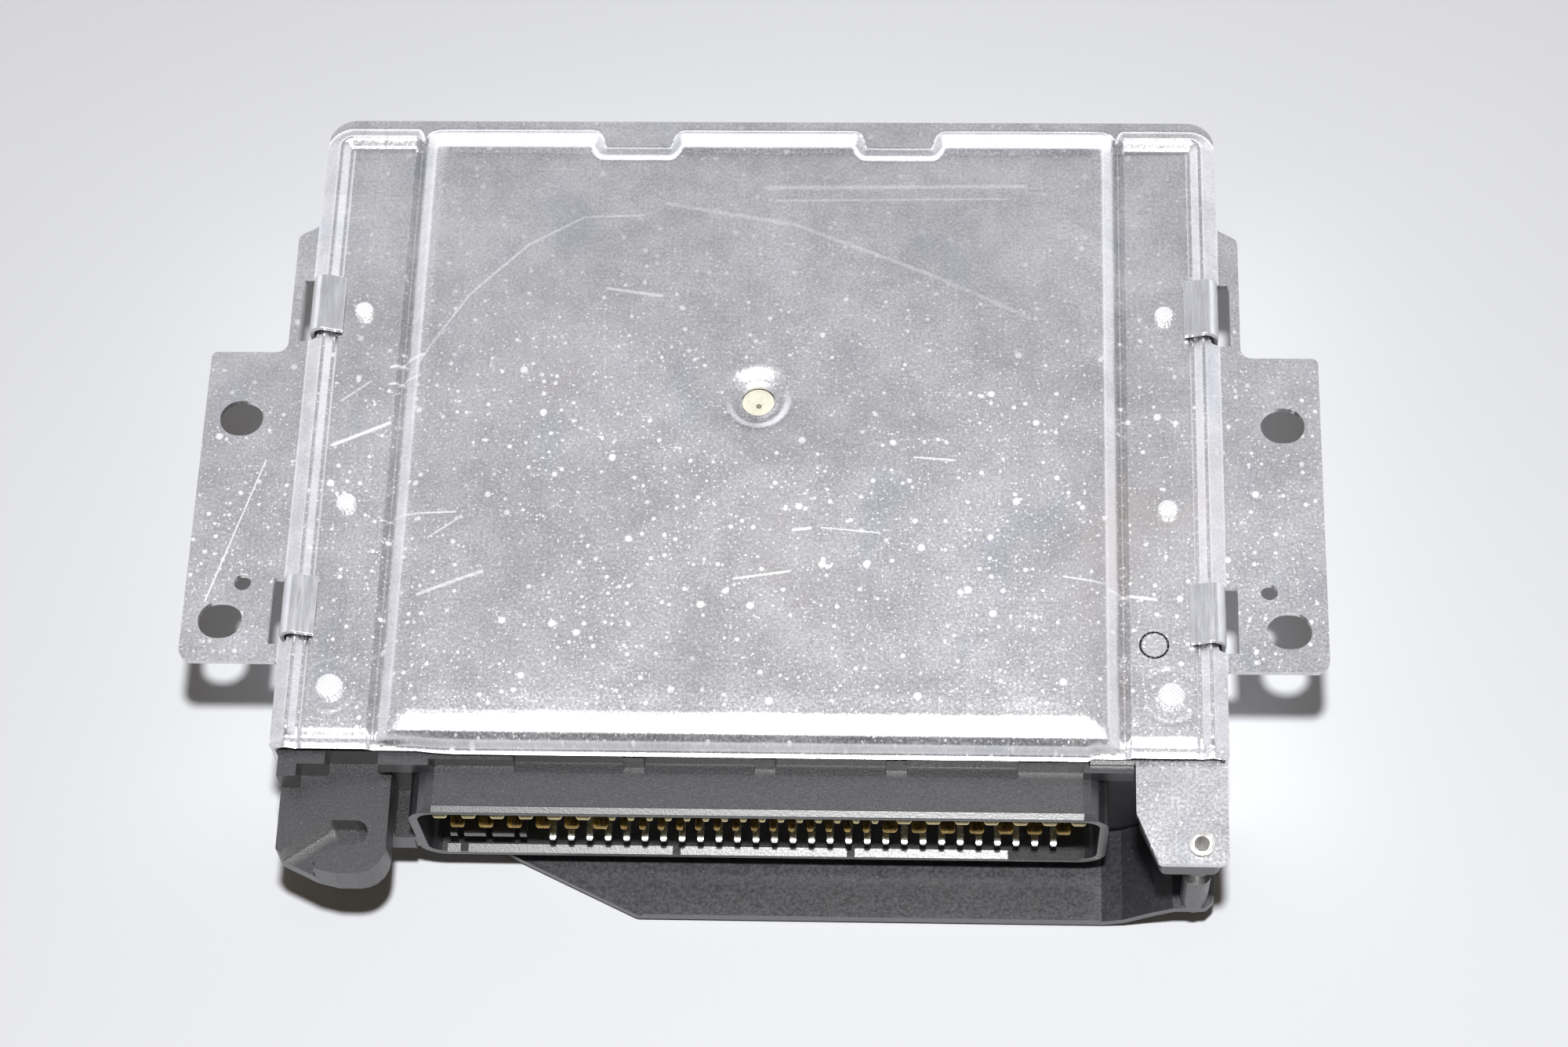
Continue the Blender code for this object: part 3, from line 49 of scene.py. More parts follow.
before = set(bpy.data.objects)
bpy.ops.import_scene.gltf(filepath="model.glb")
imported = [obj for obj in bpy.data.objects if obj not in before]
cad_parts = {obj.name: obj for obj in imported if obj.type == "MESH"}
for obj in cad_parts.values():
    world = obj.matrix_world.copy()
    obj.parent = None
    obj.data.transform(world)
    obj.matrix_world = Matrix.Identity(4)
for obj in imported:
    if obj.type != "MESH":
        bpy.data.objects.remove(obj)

MM = 0.001
COVER_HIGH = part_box("mounting_cover")[1]
CASE_BACK = 103.3  # cover's back edge, from the fixing slots
SLOT_LINE = COVER_HIGH.y / MM - CASE_BACK  # the fixing slots' line in the frame
FLANGE = 36.0  # top of the cover's flange
TAB_CENTRES = (1.8, 62.3)  # middles of the crimp tabs, in Y
CAD_EDGE_ANGLE = 40.0  # CAD edges that turn more than this are rounded


# Small helpers

def linear(hex_colour):
    """An sRGB hex colour such as #A0A0A0 as linear red, green, blue."""
    values = [int(hex_colour[k:k + 2], 16) / 255 for k in (1, 3, 5)]
    return tuple(v / 12.92 if v <= 0.04045 else ((v + 0.055) / 1.055) ** 2.4 for v in values)


def place(x, y, z):
    return Vector((x * MM, (y + SLOT_LINE) * MM, z * MM))


def smooth_step(value):
    value = max(0.0, min(1.0, value))
    return value * value * (3 - 2 * value)


def spread(low, high, step):
    """Even stations from `low` up to, and without, `high`."""
    count = max(1, round((high - low) / step))
    return [low + (high - low) * k / count for k in range(count)]


def rounded(points, radii, steps=6):
    """The outline `points` with each corner turned into an arc of its radius."""
    result = []
    count = len(points)
    for i, (x, y) in enumerate(points):
        radius = radii[i] if isinstance(radii, (list, tuple)) else radii
        if radius <= 0:
            result.append((x, y))
            continue
        before, after = Vector(points[i - 1]), Vector(points[(i + 1) % count])
        corner = Vector((x, y))
        a, b = (before - corner).normalized(), (after - corner).normalized()
        half = math.acos(max(-1.0, min(1.0, a.dot(b)))) / 2
        start = corner + a * radius / math.tan(half)
        end = corner + b * radius / math.tan(half)
        centre = corner + (a + b).normalized() * radius / math.sin(half)
        first = math.atan2(*(start - centre).yx)
        last = math.atan2(*(end - centre).yx)
        turn = (last - first + math.pi) % (2 * math.pi) - math.pi
        for k in range(steps + 1):
            angle = first + turn * k / steps
            result.append((centre.x + radius * math.cos(angle), centre.y + radius * math.sin(angle)))
    return result


def rectangle(u0, u1, v0, v1, radius=0.0, steps=6):
    return rounded([(u0, v0), (u1, v0), (u1, v1), (u0, v1)], radius, steps)


def circle(x, y, radius, sides=48):
    turns = [2 * math.pi * k / sides for k in range(sides)]
    return [(x + radius * math.cos(a), y + radius * math.sin(a)) for a in turns]


def obround(x, y, length, width, steps=14):
    radius = width / 2
    shift = (length - width) / 2
    points = []
    for sign, start in ((1, -math.pi / 2), (-1, math.pi / 2)):
        for k in range(steps + 1):
            a = start + math.pi * k / steps
            points.append((x + sign * shift + radius * math.cos(a), y + radius * math.sin(a)))
    return points


def inside(point, outline):
    """Whether a point lies in a closed outline."""
    x, y = point
    odd = False
    for (x0, y0), (x1, y1) in zip(outline, outline[1:] + outline[:1]):
        if (y0 > y) != (y1 > y) and x < x0 + (x1 - x0) * (y - y0) / (y1 - y0):
            odd = not odd
    return odd


def extrude(bm, points, axis, low, high):
    """Adds the solid whose outline lies across `axis`, from `low` to `high` along it."""
    order = {
        "X": lambda u, v, w: place(w, u, v),
        "Y": lambda u, v, w: place(u, w, v),
        "Z": lambda u, v, w: place(u, v, w),
    }[axis]
    first = [bm.verts.new(order(u, v, low)) for u, v in points]
    last = [bm.verts.new(order(u, v, high)) for u, v in points]
    faces = [bm.faces.new(first[::-1]), bm.faces.new(last)]
    for a, b, c, d in zip(first, first[1:] + first[:1], last[1:] + last[:1], last):
        faces.append(bm.faces.new((a, b, c, d)))
    bmesh.ops.recalc_face_normals(bm, faces=faces)
    return faces


def box(bm, x0, x1, y0, y1, z0, z1):
    return extrude(bm, [(x0, y0), (x1, y0), (x1, y1), (x0, y1)], "Z", z0, z1)


def lathe(bm, x, y, profile, sides=48):
    """Adds a solid turned about a vertical axis; `profile` is a closed loop of (radius, z)."""
    rings = []
    for radius, z in profile:
        if radius < 1e-6:
            rings.append([bm.verts.new(place(x, y, z))] * sides)
        else:
            rings.append([bm.verts.new(place(u, v, z)) for u, v in circle(x, y, radius, sides)])
    faces = []
    for a, b in zip(rings, rings[1:] + rings[:1]):
        for k in range(sides):
            j = (k + 1) % sides
            corners = list(dict.fromkeys((a[k], a[j], b[j], b[k])))
            if len(corners) > 2:
                faces.append(bm.faces.new(corners))
    bmesh.ops.recalc_face_normals(bm, faces=faces)
    return faces


def loft(bm, loops):
    """Adds a closed skin over loops of as many points each."""
    rings = [[bm.verts.new(place(*p)) for p in loop] for loop in loops]
    faces = [bm.faces.new(rings[0]), bm.faces.new(rings[-1][::-1])]
    for a, b in zip(rings, rings[1:]):
        for k in range(len(a)):
            j = (k + 1) % len(a)
            faces.append(bm.faces.new((a[k], a[j], b[j], b[k])))
    bmesh.ops.recalc_face_normals(bm, faces=faces)


def add_object(name, data):
    obj = bpy.data.objects.new(name, data)
    bpy.context.scene.collection.objects.link(obj)
    return obj


def round_edges(obj, width, angle):
    """Rounds the edges that turn by more than `angle` degrees; `width` is in metres."""
    modifier = obj.modifiers.new("Edge rounding", "BEVEL")
    modifier.width = width
    modifier.segments = 2
    modifier.limit_method = "ANGLE"
    modifier.angle_limit = math.radians(angle)
    return modifier


def piece(name, bm, material, replaces=(), edge=0.0, angle=35.0):
    """Makes an object of the mesh, with rounded edges, its finish and its place in the frame."""
    mesh = bpy.data.meshes.new(name)
    bm.to_mesh(mesh)
    bm.free()
    obj = add_object(name, mesh)
    mesh.materials.append(material)
    mesh.shade_smooth()
    mesh.set_sharp_from_angle(angle=math.radians(angle))
    if edge:
        round_edges(obj, edge * MM, angle).harden_normals = True
    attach(obj, "root")
    if replaces:
        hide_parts(*replaces)
    return obj


def finish_nodes(names, material, edge=0.0):
    """Gives CAD nodes that keep their own shape their finish and rounded edges."""
    for name in names:
        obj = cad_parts[name]
        obj.data.materials.clear()
        obj.data.materials.append(material)
        if edge:
            round_edges(obj, edge, CAD_EDGE_ANGLE)


def nodes_named(*starts):
    """The CAD nodes whose names start with one of the given words."""
    return sorted(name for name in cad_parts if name.startswith(starts))


# Sizes and colours

def length(name, description, default):
    return FloatProperty(
        name=name, description=description, default=default * MM, unit="LENGTH", precision=5
    )


def colour(name, description, default):
    return FloatVectorProperty(
        name=name, description=description, default=linear(default), subtype="COLOR", size=3,
        min=0.0, max=1.0,
    )


class CoverSizes(bpy.types.PropertyGroup):
    """Sizes of the pressed cover."""

    sheet: length("Sheet", "Thickness of the cover's sheet", 1.2)
    ridge_rise: length("Ridge rise", "Height of the edge ridge above the flange", 2.2)
    pan_rise: length("Pan rise", "Height of the raised pan above the flange", 4.0)
    crown: length("Crown", "How much the pan still rises behind its edge", 0.16)
    notch_depth: length("Notch depth", "Depth of the pan's two back notches", 5.4)
    edge: length("Edge rounding", "Rounding of the sheared edges", 0.2)


class HeaderSizes(bpy.types.PropertyGroup):
    """Sizes of the plug header."""

    row_pitch: length("Row pitch", "Distance between the rows of contacts", 5.0)
    wide_pitch: length("Wide pitch", "Pitch of the wide contacts", 5.0)
    narrow_pitch: length("Narrow pitch", "Pitch of the narrow contacts", 3.24)
    wide_blade: length("Wide blade", "Width of a wide contact", 2.6)
    narrow_blade: length("Narrow blade", "Width of a narrow contact", 1.2)
    lower_count: IntProperty(
        name="Lower contacts", description="Contacts in the lower row", default=28, min=1
    )
    edge: length("Edge rounding", "Rounding of the moulded edges", 0.22)


class FinishColours(bpy.types.PropertyGroup):
    """Colours of the finishes."""

    sheet: colour("Sheet", "Rolled aluminium of the cover", "#E2E1E2")
    oxide: colour("Oxide", "White bloom spots on the aluminium", "#F1F1F2")
    header: colour("Header", "Moulded plastic of the header", "#202023")
    guard: colour("Guard", "Moulded plastic of the guard plate", "#2B2A30")
    gold: colour("Gold", "Gold flash of the middle contacts", "#B79C63")
    worn_gold: colour("Worn gold", "Thin gold flash of the upper contacts", "#E8D9A8")
    tin: colour("Tin", "Tin plating of the lower contacts", "#F4F9F7")
    cream: colour("Port", "Cream plastic of the pressure port", "#E6E3D2")
    ink: colour("Ink", "Ink of the inspection ring", "#2B2B33")
    floor: colour("Floor", "Table top", "#E6E8EC")


# Finishes

SMOOTH = {"interpolation_type": "SMOOTHSTEP"}  # of a Map Range node
COLOUR = {"data_type": "RGBA"}  # of a Mix node
ABOUT_Z = {"rotation_type": "Z_AXIS"}  # of a Vector Rotate node


def connect(tree, made, values):
    """Sets or links the node's sockets, given as {socket: number, colour, node or socket}."""
    for key, value in values.items():
        socket = made.inputs[key]
        if isinstance(value, bpy.types.Node):
            value = value.outputs[0]
        if isinstance(value, bpy.types.NodeSocket):
            tree.links.new(value, socket)
        elif socket.type == "RGBA":
            socket.default_value = (*tuple(value)[:3], 1.0)
        else:
            socket.default_value = value


def node(tree, kind, *values, **settings):
    """Adds one node. `kind` may end with its operation, and `settings` are its other choices.

    `values` go to its sockets in order, or one dictionary of them to the sockets it names.
    """
    kind, _, operation = kind.partition(" ")
    made = tree.nodes.new("ShaderNode" + kind)
    if operation:
        made.operation = operation
    for key, value in settings.items():
        setattr(made, key, value)
    named = values[0] if values and isinstance(values[0], dict) else dict(enumerate(values))
    connect(tree, made, named)
    return made


def start_material(name):
    """A new material with its shader and the object's own coordinates in millimetres."""
    material = bpy.data.materials.new(name)
    material.use_nodes = True
    tree = material.node_tree
    where = node(tree, "TexCoord").outputs["Object"]
    spot = node(tree, "VectorMath SCALE", {0: where, 3: 1 / MM})
    return material, tree, tree.nodes["Principled BSDF"], spot


def patterns(tree, spot, table):
    """Noise patterns by name, each from (stretch of X, Y and Z, lumps per mm, detail, roughness)."""
    made = {}
    for key, (stretch, per_mm, detail, roughness) in table.items():
        where = node(tree, "VectorMath MULTIPLY", spot, stretch)
        made[key] = node(
            tree, "TexNoise",
            {"Vector": where, "Scale": per_mm, "Detail": detail, "Roughness": roughness},
        )
    return made


def mottled(tree, base, tone, changes):
    """The colour `base`, lighter and darker round `tone` by (pattern, low, high, reach)."""
    for pattern, low, high, reach in changes:
        change = node(tree, "MapRange", pattern, low, high, -reach, reach, **SMOOTH)
        tone = node(tree, "Math ADD", change, tone)
    return node(tree, "HueSaturation", {"Value": tone, "Color": base})


def cells(tree, spot, pitch, randomness, share):
    """Random cells of `pitch` mm, their two dice, and 1 in the `share` of them that is used."""
    made = node(tree, "TexVoronoi", {"Vector": spot, "Scale": 1 / pitch, "Randomness": randomness})
    dice = node(tree, "SeparateColor", made.outputs["Color"])
    return made, dice, node(tree, "Math LESS_THAN", dice.outputs[1], share)


def spots(tree, spot, pitch, smallest, largest, share):
    """Round spots on cells of `pitch` mm; `share` of the cells have one."""
    found, dice, used = cells(tree, spot, pitch, 1.0, share)
    away = node(tree, "Math MULTIPLY", found.outputs["Distance"], pitch)
    radius = node(tree, "MapRange", dice, 0.0, 1.0, smallest, largest, **SMOOTH)
    depth = node(tree, "Math SUBTRACT", radius, away)
    near = node(tree, "Math DIVIDE", depth, smallest * 0.8, use_clamp=True)
    return node(tree, "Math MULTIPLY", near, used)


def scuffs(tree, spot, pitch, reach, width, share, turn):
    """Short straight scratches, one in each of a `share` of the cells, at random angles."""
    found, dice, shown = cells(tree, spot, pitch, 0.9, share)
    centre = node(tree, "VectorMath SCALE", {0: found.outputs["Position"], 3: pitch})
    offset = node(tree, "VectorMath SUBTRACT", spot, centre)
    angle = node(tree, "MapRange", dice, 0.0, 1.0, *turn, **SMOOTH)
    turned = node(tree, "VectorRotate", {"Vector": offset, "Angle": angle}, **ABOUT_Z)
    parts = node(tree, "SeparateXYZ", turned)
    for side, (outer, inner) in enumerate(((reach, reach * 0.5), (width, width * 0.3))):
        away = node(tree, "Math ABSOLUTE", parts.outputs[side])
        near = node(tree, "MapRange", away, outer, inner, **SMOOTH)
        shown = node(tree, "Math MULTIPLY", near, shown)
    return shown


def stroke(tree, spot, start, end, width, strength):
    """A drawn scratch from `start` to `end`, both (x, y) in mm."""
    way = Vector((*end, 0.0)) - Vector((*start, 0.0))
    offset = node(tree, "VectorMath SUBTRACT", spot, (*start, 0.0))
    share = node(tree, "VectorMath DOT_PRODUCT", offset, way / way.length_squared)
    held = node(tree, "Clamp", share.outputs["Value"])
    foot = node(tree, "VectorMath SCALE", {0: way, 3: held})
    away = node(tree, "VectorMath DISTANCE", offset, foot).outputs["Value"]
    return node(tree, "MapRange", away, width, width * 0.25, 0.0, strength, **SMOOTH)


def strongest(tree, layers):
    """One layer that is, at each spot, as strong as the strongest of `layers`."""
    top = layers[0]
    for layer in layers[1:]:
        top = node(tree, "Math MAXIMUM", top, layer)
    return top


FLAT = (1.0, 1.0, 0.0)  # patterns that ignore the height
ALUMINIUM_PATTERNS = {
    "lines": ((1.0, 0.03, 0.3), 2.2, 2.0, 0.55),  # left by the rolls, front to back
    "clouds": (FLAT, 0.035, 4.0, 0.6),  # handling
    "patches": (FLAT, 0.16, 4.0, 0.65),
    "grain": (FLAT, 1.9, 5.0, 0.75),
    "stain": (FLAT, 0.022, 2.0, 0.55),
    "tarnish": ((1.3, 0.7, 0.0), 0.05, 2.0, 0.55),
    "damp": (FLAT, 0.03, 3.0, 0.55),  # where the bloom is dense
    "haze": ((1.0, 0.8, 0.0), 0.022, 5.0, 0.62),
}
# White bloom, as (pitch, smallest and largest radius in mm, share of the cells)
BLOOM = ((4.2, 0.36, 0.8, 0.7), (1.9, 0.24, 0.5, 0.7), (1.0, 0.13, 0.26, 0.66), (0.6, 0.1, 0.18, 0.55))
# Fine scratches, as (pitch, half length, half width in mm, share of the cells, angles in radians)
SCUFFS = (
    (27.0, 4.5, 0.13, 0.4, (-0.5, 0.35)), (13.0, 2.2, 0.12, 0.35, (-1.5, 1.2)),
    (6.0, 1.0, 0.12, 0.3, (-3.1, 3.1)),
)
DAMP_FRONT, DAMP_BACK = 0.0, 55.0  # bloom fades from here to there, in mm


def rolled_aluminium(name, spotted, strokes=(), ring=None):
    """Rolled aluminium sheet, mill finish, handled and stored for years.

    The rolls leave fine lines from front to back, and the eye sees a satin grey with soft
    clouds, white bloom where damp sat, and thin bright scratches.
    """
    colours = bpy.context.scene.control_unit_colours
    material, tree, shader, spot = start_material(name)
    seen = patterns(tree, spot, ALUMINIUM_PATTERNS)
    flat = node(tree, "VectorMath MULTIPLY", spot, FLAT)

    damp = node(tree, "MapRange", seen["damp"], 0.32, 0.5, 0.35, 1.0, **SMOOTH)
    depth = node(tree, "SeparateXYZ", flat).outputs[1]
    near = node(tree, "MapRange", depth, DAMP_BACK, DAMP_FRONT, 0.3, 1.0, **SMOOTH)
    damp = node(tree, "Math MULTIPLY", damp, near)
    bloom = strongest(tree, [spots(tree, flat, *size, share * spotted) for *size, share in BLOOM])
    bloom = node(tree, "Math MULTIPLY", bloom, damp)
    scratch = strongest(
        tree, [scuffs(tree, flat, *s) for s in SCUFFS] + [stroke(tree, flat, *s) for s in strokes]
    )
    worn = node(tree, "Math MAXIMUM", bloom, scratch)

    base = mottled(tree, colours.sheet, 0.87, (
        (seen["lines"], 0.3, 0.7, 0.012), (seen["clouds"], 0.3, 0.7, 0.05),
        (seen["patches"], 0.35, 0.65, 0.06), (seen["grain"], 0.36, 0.64, 0.09),
    ))
    tints = (
        ("stain", 0.55, 0.75, 0.45, linear("#C9BDB4")),
        ("tarnish", 0.58, 0.72, 0.3, linear("#B4BCC9")),
        ("haze", 0.5, 0.72, 0.3, colours.oxide),
    )
    for key, low, high, most, tint in tints:
        share = node(tree, "MapRange", seen[key], low, high, 0.0, most, **SMOOTH)
        base = node(tree, "Mix", {0: share, 6: base, 7: tint}, **COLOUR).outputs[2]
    share = node(tree, "Math MULTIPLY", worn, 0.92)
    base = node(tree, "Mix", {0: share, 6: base, 7: colours.oxide}, **COLOUR).outputs[2]
    if ring:
        base = inspection_ring(tree, flat, base, *ring)
    metal = node(tree, "MapRange", bloom, 0.0, 1.0, 1.0, 0.35, **SMOOTH)

    smear = node(tree, "MapRange", seen["clouds"], 0.3, 0.7, 0.26, 0.32, **SMOOTH)
    fine = node(tree, "MapRange", seen["grain"], 0.4, 0.62, -0.04, 0.05, **SMOOTH)
    rough = node(tree, "Math ADD", smear, fine)
    rough = node(tree, "Math ADD", rough, node(tree, "Math MULTIPLY", worn, 0.26))

    ribbed = node(tree, "MapRange", seen["lines"], 0.2, 0.8, 0.0, 0.12, **SMOOTH)
    grained = node(tree, "MapRange", seen["grain"], 0.2, 0.8, 0.0, 0.45, **SMOOTH)
    height = node(tree, "Math ADD", ribbed, grained)
    height = node(tree, "Math SUBTRACT", height, node(tree, "Math MULTIPLY", scratch, 0.6))
    bump = node(tree, "Bump", {"Strength": 0.35, "Distance": 0.02 * MM, "Height": height})
    connect(tree, shader, {
        "Base Color": base, "Metallic": metal, "Roughness": rough, "Normal": bump,
    })
    return material


def inspection_ring(tree, flat, base, x, y, radius):
    """A plain inked ring, as an inspector's rubber stamp leaves it."""
    away = node(tree, "VectorMath DISTANCE", flat, (x, y, 0.0)).outputs["Value"]
    off = node(tree, "Math ABSOLUTE", node(tree, "Math SUBTRACT", away, radius))
    inked = node(tree, "MapRange", off, 0.26, 0.14, **SMOOTH)
    patchy = patterns(tree, flat, {"ink": (FLAT, 3.0, 2.0, 0.55)})["ink"]
    worn = node(tree, "MapRange", patchy, 0.32, 0.45, **SMOOTH)
    ink = bpy.context.scene.control_unit_colours.ink
    share = node(tree, "Math MULTIPLY", inked, worn)
    return node(tree, "Mix", {0: share, 6: base, 7: ink}, **COLOUR).outputs[2]


KNURL_DEPTH, GRAIN_DEPTH = 0.12, 0.03  # mm
KNURL_TURN, WAVE_SCALE = 0.785, 0.314  # radians; one ridge per mm


def plain_metal(name, base, roughness, lines=(1.0, 1.0, 1.0), bumpy=0.3, uneven=0.05, knurl=0.0):
    """A bare or plated metal: an even grey or gold with faint marks, so highlights break up.

    `knurl` is the pitch, in mm, of the crossed ridges that a setting tool leaves.
    """
    material, tree, shader, spot = start_material(name)
    seen = patterns(tree, spot, {
        "grain": (lines, 1.8, 4.0, 0.65), "broad": ((1.0, 1.0, 1.0), 0.25, 3.0, 0.55),
    })
    base = mottled(tree, base, 1.0, [(seen[key], 0.3, 0.7, uneven) for key in seen])
    low, high = roughness - 0.05, roughness + 0.07
    rough = node(tree, "MapRange", seen["grain"], 0.25, 0.75, low, high, **SMOOTH)
    height = seen["grain"]
    for turn in (KNURL_TURN, -KNURL_TURN) if knurl else ():
        turned = node(tree, "VectorRotate", {"Vector": spot, "Angle": turn}, **ABOUT_Z)
        waves = node(tree, "TexWave", {"Vector": turned, "Scale": WAVE_SCALE / knurl})
        height = node(tree, "Math ADD", height, waves.outputs[1])
    depth = (KNURL_DEPTH if knurl else GRAIN_DEPTH) * MM
    bump = node(tree, "Bump", {"Strength": bumpy, "Distance": depth, "Height": height})
    connect(tree, shader, {"Base Color": base, "Metallic": 1.0, "Roughness": rough, "Normal": bump})
    return material


def moulded_plastic(name, base, roughness, specks=0.5, grain_mm=0.35, bumpy=0.6, sheen=0.5):
    """Glass-filled moulded plastic: dark and dry, with dust, rubbed streaks and pale filler."""
    material, tree, shader, spot = start_material(name)
    seen = patterns(tree, spot, {
        "grain": ((1.0, 1.0, 1.0), 1 / grain_mm, 3.0, 0.6),
        "broad": ((1.0, 1.0, 1.0), 0.12, 3.0, 0.6),
        "rubbed": ((0.25, 1.0, 1.0), 0.55, 5.0, 0.7),
    })
    body = mottled(tree, base, 1.0, ((seen["grain"], 0.3, 0.7, 0.1), (seen["broad"], 0.3, 0.7, 0.12)))
    dust = strongest(tree, [
        spots(tree, spot, 0.85, 0.09, 0.2, specks), spots(tree, spot, 2.3, 0.16, 0.3, specks * 0.35),
        node(tree, "MapRange", seen["rubbed"], 0.5, 0.72, 0.0, 0.16, **SMOOTH),
    ])
    pale = tuple(min(1.0, 2.6 * c + 0.07) for c in base)
    share = node(tree, "Math MULTIPLY", dust, 0.55)
    dusty = node(tree, "Mix", {0: share, 6: body, 7: pale}, **COLOUR).outputs[2]
    low, high = roughness - 0.06, roughness + 0.08
    rough = node(tree, "MapRange", seen["grain"], 0.25, 0.75, low, high, **SMOOTH)
    bump = node(tree, "Bump", {"Strength": bumpy, "Distance": 0.04 * MM, "Height": seen["grain"]})
    connect(tree, shader, {
        "Base Color": dusty, "Roughness": rough, "Specular IOR Level": sheen, "IOR": 1.6,
        "Normal": bump,
    })
    return material


# Cover

def follow(line, value, soft=0.22):
    """Height at `value` of a line given by (distance, height) corners, its bends softened."""
    total = 0.0
    for spot in (value - soft, value, value + soft):
        height = line[0][1]
        for (u0, v0), (u1, v1) in zip(line, line[1:]):
            if spot > u0:
                height = v0 + (v1 - v0) * min(1.0, (spot - u0) / (u1 - u0))
        total += height
    return total / 3


class CoverShape:
    """The cover's relief and plan, from the scene's sizes."""

    WIDTH_HALF = 82.1
    FRONT, BACK = -24.75, CASE_BACK
    LIP, LIP_DROP = 0.85, 0.3  # the front edge hangs a little
    NOSE, NOSE_REACH = (-54.6, 59.4), 0.5  # middle of the front edge, before its ends
    NOSE_SIDE, NOSE_DEPTH = 1.4, 3.0  # how softly it stands forward
    CROWN_START, CROWN_EASE = 6.0, 5.0  # where the pan's crown rises, from its foot
    FOOT_X, FOOT_Y, CORNER = 82.35, 101.4, 5.0  # the edge ridge's outer foot
    PAN_SIDE, PAN_BACK = 64.4, 101.35  # the pan's feet
    # Sections as (distance inwards, height), heights as shares of the pan's or the ridge's rise
    RIDGE_LINE = ((0.0, 0.0), (2.8, 0.97), (3.2, 1.0), (4.95, 0.42), (5.05, 0.42), (5.55, 0.59))
    SIDE_LINE = ((0.0, 0.0), (0.9, 0.45), (2.9, 0.83), (5.0, 0.965), (6.4, 1.0))
    FRONT_LINE = ((0.85, 0.0), (0.9, 0.02), (1.6, 0.48), (2.9, 0.775), (5.6, 0.965), (6.6, 1.0))
    BACK_LINE = ((0.0, 0.0), (0.9, 0.2), (5.6, 0.86), (7.6, 0.985), (8.6, 1.0))
    NOTCH_LINE = ((0.0, 0.0), (0.68, 0.8), (1.0, 1.0))
    NOTCH, NOTCH_SLOPES = (18.3, 30.1), (3.0, 5.6)
    CHANNEL_END = ((0.7, 0.46), (0.9, 0.5), (2.4, 0.5), (3.75, 1.0))
    CHANNEL_SIDE = ((64.0, 0.0), (64.7, 0.25), (65.4, 1.0))
    DIMPLE = (0.0, 42.7)
    DISH_LINE = ((2.9, -1.2), (3.9, -0.86), (4.5, -0.78), (6.1, -0.12), (7.0, 0.0))
    DISH_RADII = (7.4, 6.9, 6.5, 6.1, 5.7, 5.3, 4.9, 4.6, 4.3, 4.0, 3.7, 3.4, 3.1, 2.9)
    DISH_RIM = 8.0
    RIVETS = ((-13.3, 2.35), (22.3, 1.75), (61.3, 1.75))
    CHANNEL_X, CHANNEL_FLOOR = 72.35, (66.0, 76.0)
    RAIL_MARKS = ((70.65, 0.95, 9.7), (71.75, 0.6, 60.0))  # x, half width and far end, by side
    SLOT_X, SLOT_YS, SLOT = 93.0, (0.0, 40.0), (7.8, 7.0)
    HOLE = (89.7, 7.3, 1.5)
    TAB_SLOT, TAB_SLOT_HALF = (80.7, 84.3), 6.3

    def __init__(self, sizes):
        self.sheet = sizes.sheet / MM
        self.rise = sizes.ridge_rise / MM
        self.channel = self.rise * self.RIDGE_LINE[-1][1]
        self.pan = sizes.pan_rise / MM
        self.crown = sizes.crown / MM
        self.notch = sizes.notch_depth / MM

    def pan_height(self, side, y):
        lacks = [
            1 - follow(self.SIDE_LINE, self.PAN_SIDE - side),
            1 - follow(self.FRONT_LINE, y - self.FRONT, 0.12),
            1 - follow(self.BACK_LINE, self.PAN_BACK - y),
        ]
        near, far = self.NOTCH
        out_x = max(near - side, side - far, 0.0) / self.NOTCH_SLOPES[0]
        out_y = max(self.BACK - self.notch - y, 0.0) / self.NOTCH_SLOPES[1]
        lacks.append(1 - follow(self.NOTCH_LINE, math.hypot(out_x, out_y), 0.04))
        share = 1 - min(1.0, math.hypot(*lacks))
        inward = min(self.PAN_SIDE - side, y - self.FRONT, self.PAN_BACK - y) - self.CROWN_START
        return share * (self.pan - self.crown * (1 - smooth_step(inward / self.CROWN_EASE)))

    def height(self, x, y):
        """Height of the cover's upper face over its flange."""
        side = abs(x)
        u, v = side - (self.FOOT_X - self.CORNER), y - (self.FOOT_Y - self.CORNER)
        depth = min(self.FOOT_X - side, self.FOOT_Y - y)
        if u > 0 and v > 0:
            depth = self.CORNER - math.hypot(u, v)
        base = self.rise * follow(self.RIDGE_LINE, depth) * follow(self.CHANNEL_SIDE, side, 0.1)
        base *= follow(self.CHANNEL_END, y - self.FRONT)
        rise = max(base, self.pan_height(side, y))
        if self.CHANNEL_FLOOR[0] < side < self.CHANNEL_FLOOR[1]:
            rise += self.channel_marks(x, y)
        return rise - self.LIP_DROP * max(0.0, 1 - (y - self.FRONT) / self.LIP)

    def channel_marks(self, x, y):
        """Witness of the rail behind the sheet, and the coined ring of the front rivet."""
        rail, half, end = self.RAIL_MARKS[x > 0]
        off = abs(abs(x) - rail)
        ends = smooth_step((y + 8.6) / 0.8) * smooth_step((end - y) / 0.8)
        mark = 0.08 * smooth_step((half + 0.2 - off) / 0.35) * ends
        if x < 0:
            mark -= 0.06 * smooth_step(1 - abs(x + 71.5) / 0.45) * smooth_step((y - 9.0) / 1.0)
        ring = math.hypot(abs(x) - self.CHANNEL_X, y - self.RIVETS[0][0])
        return mark - 0.05 * smooth_step(max(0.0, 1 - abs(ring - 4.9) / 0.7))

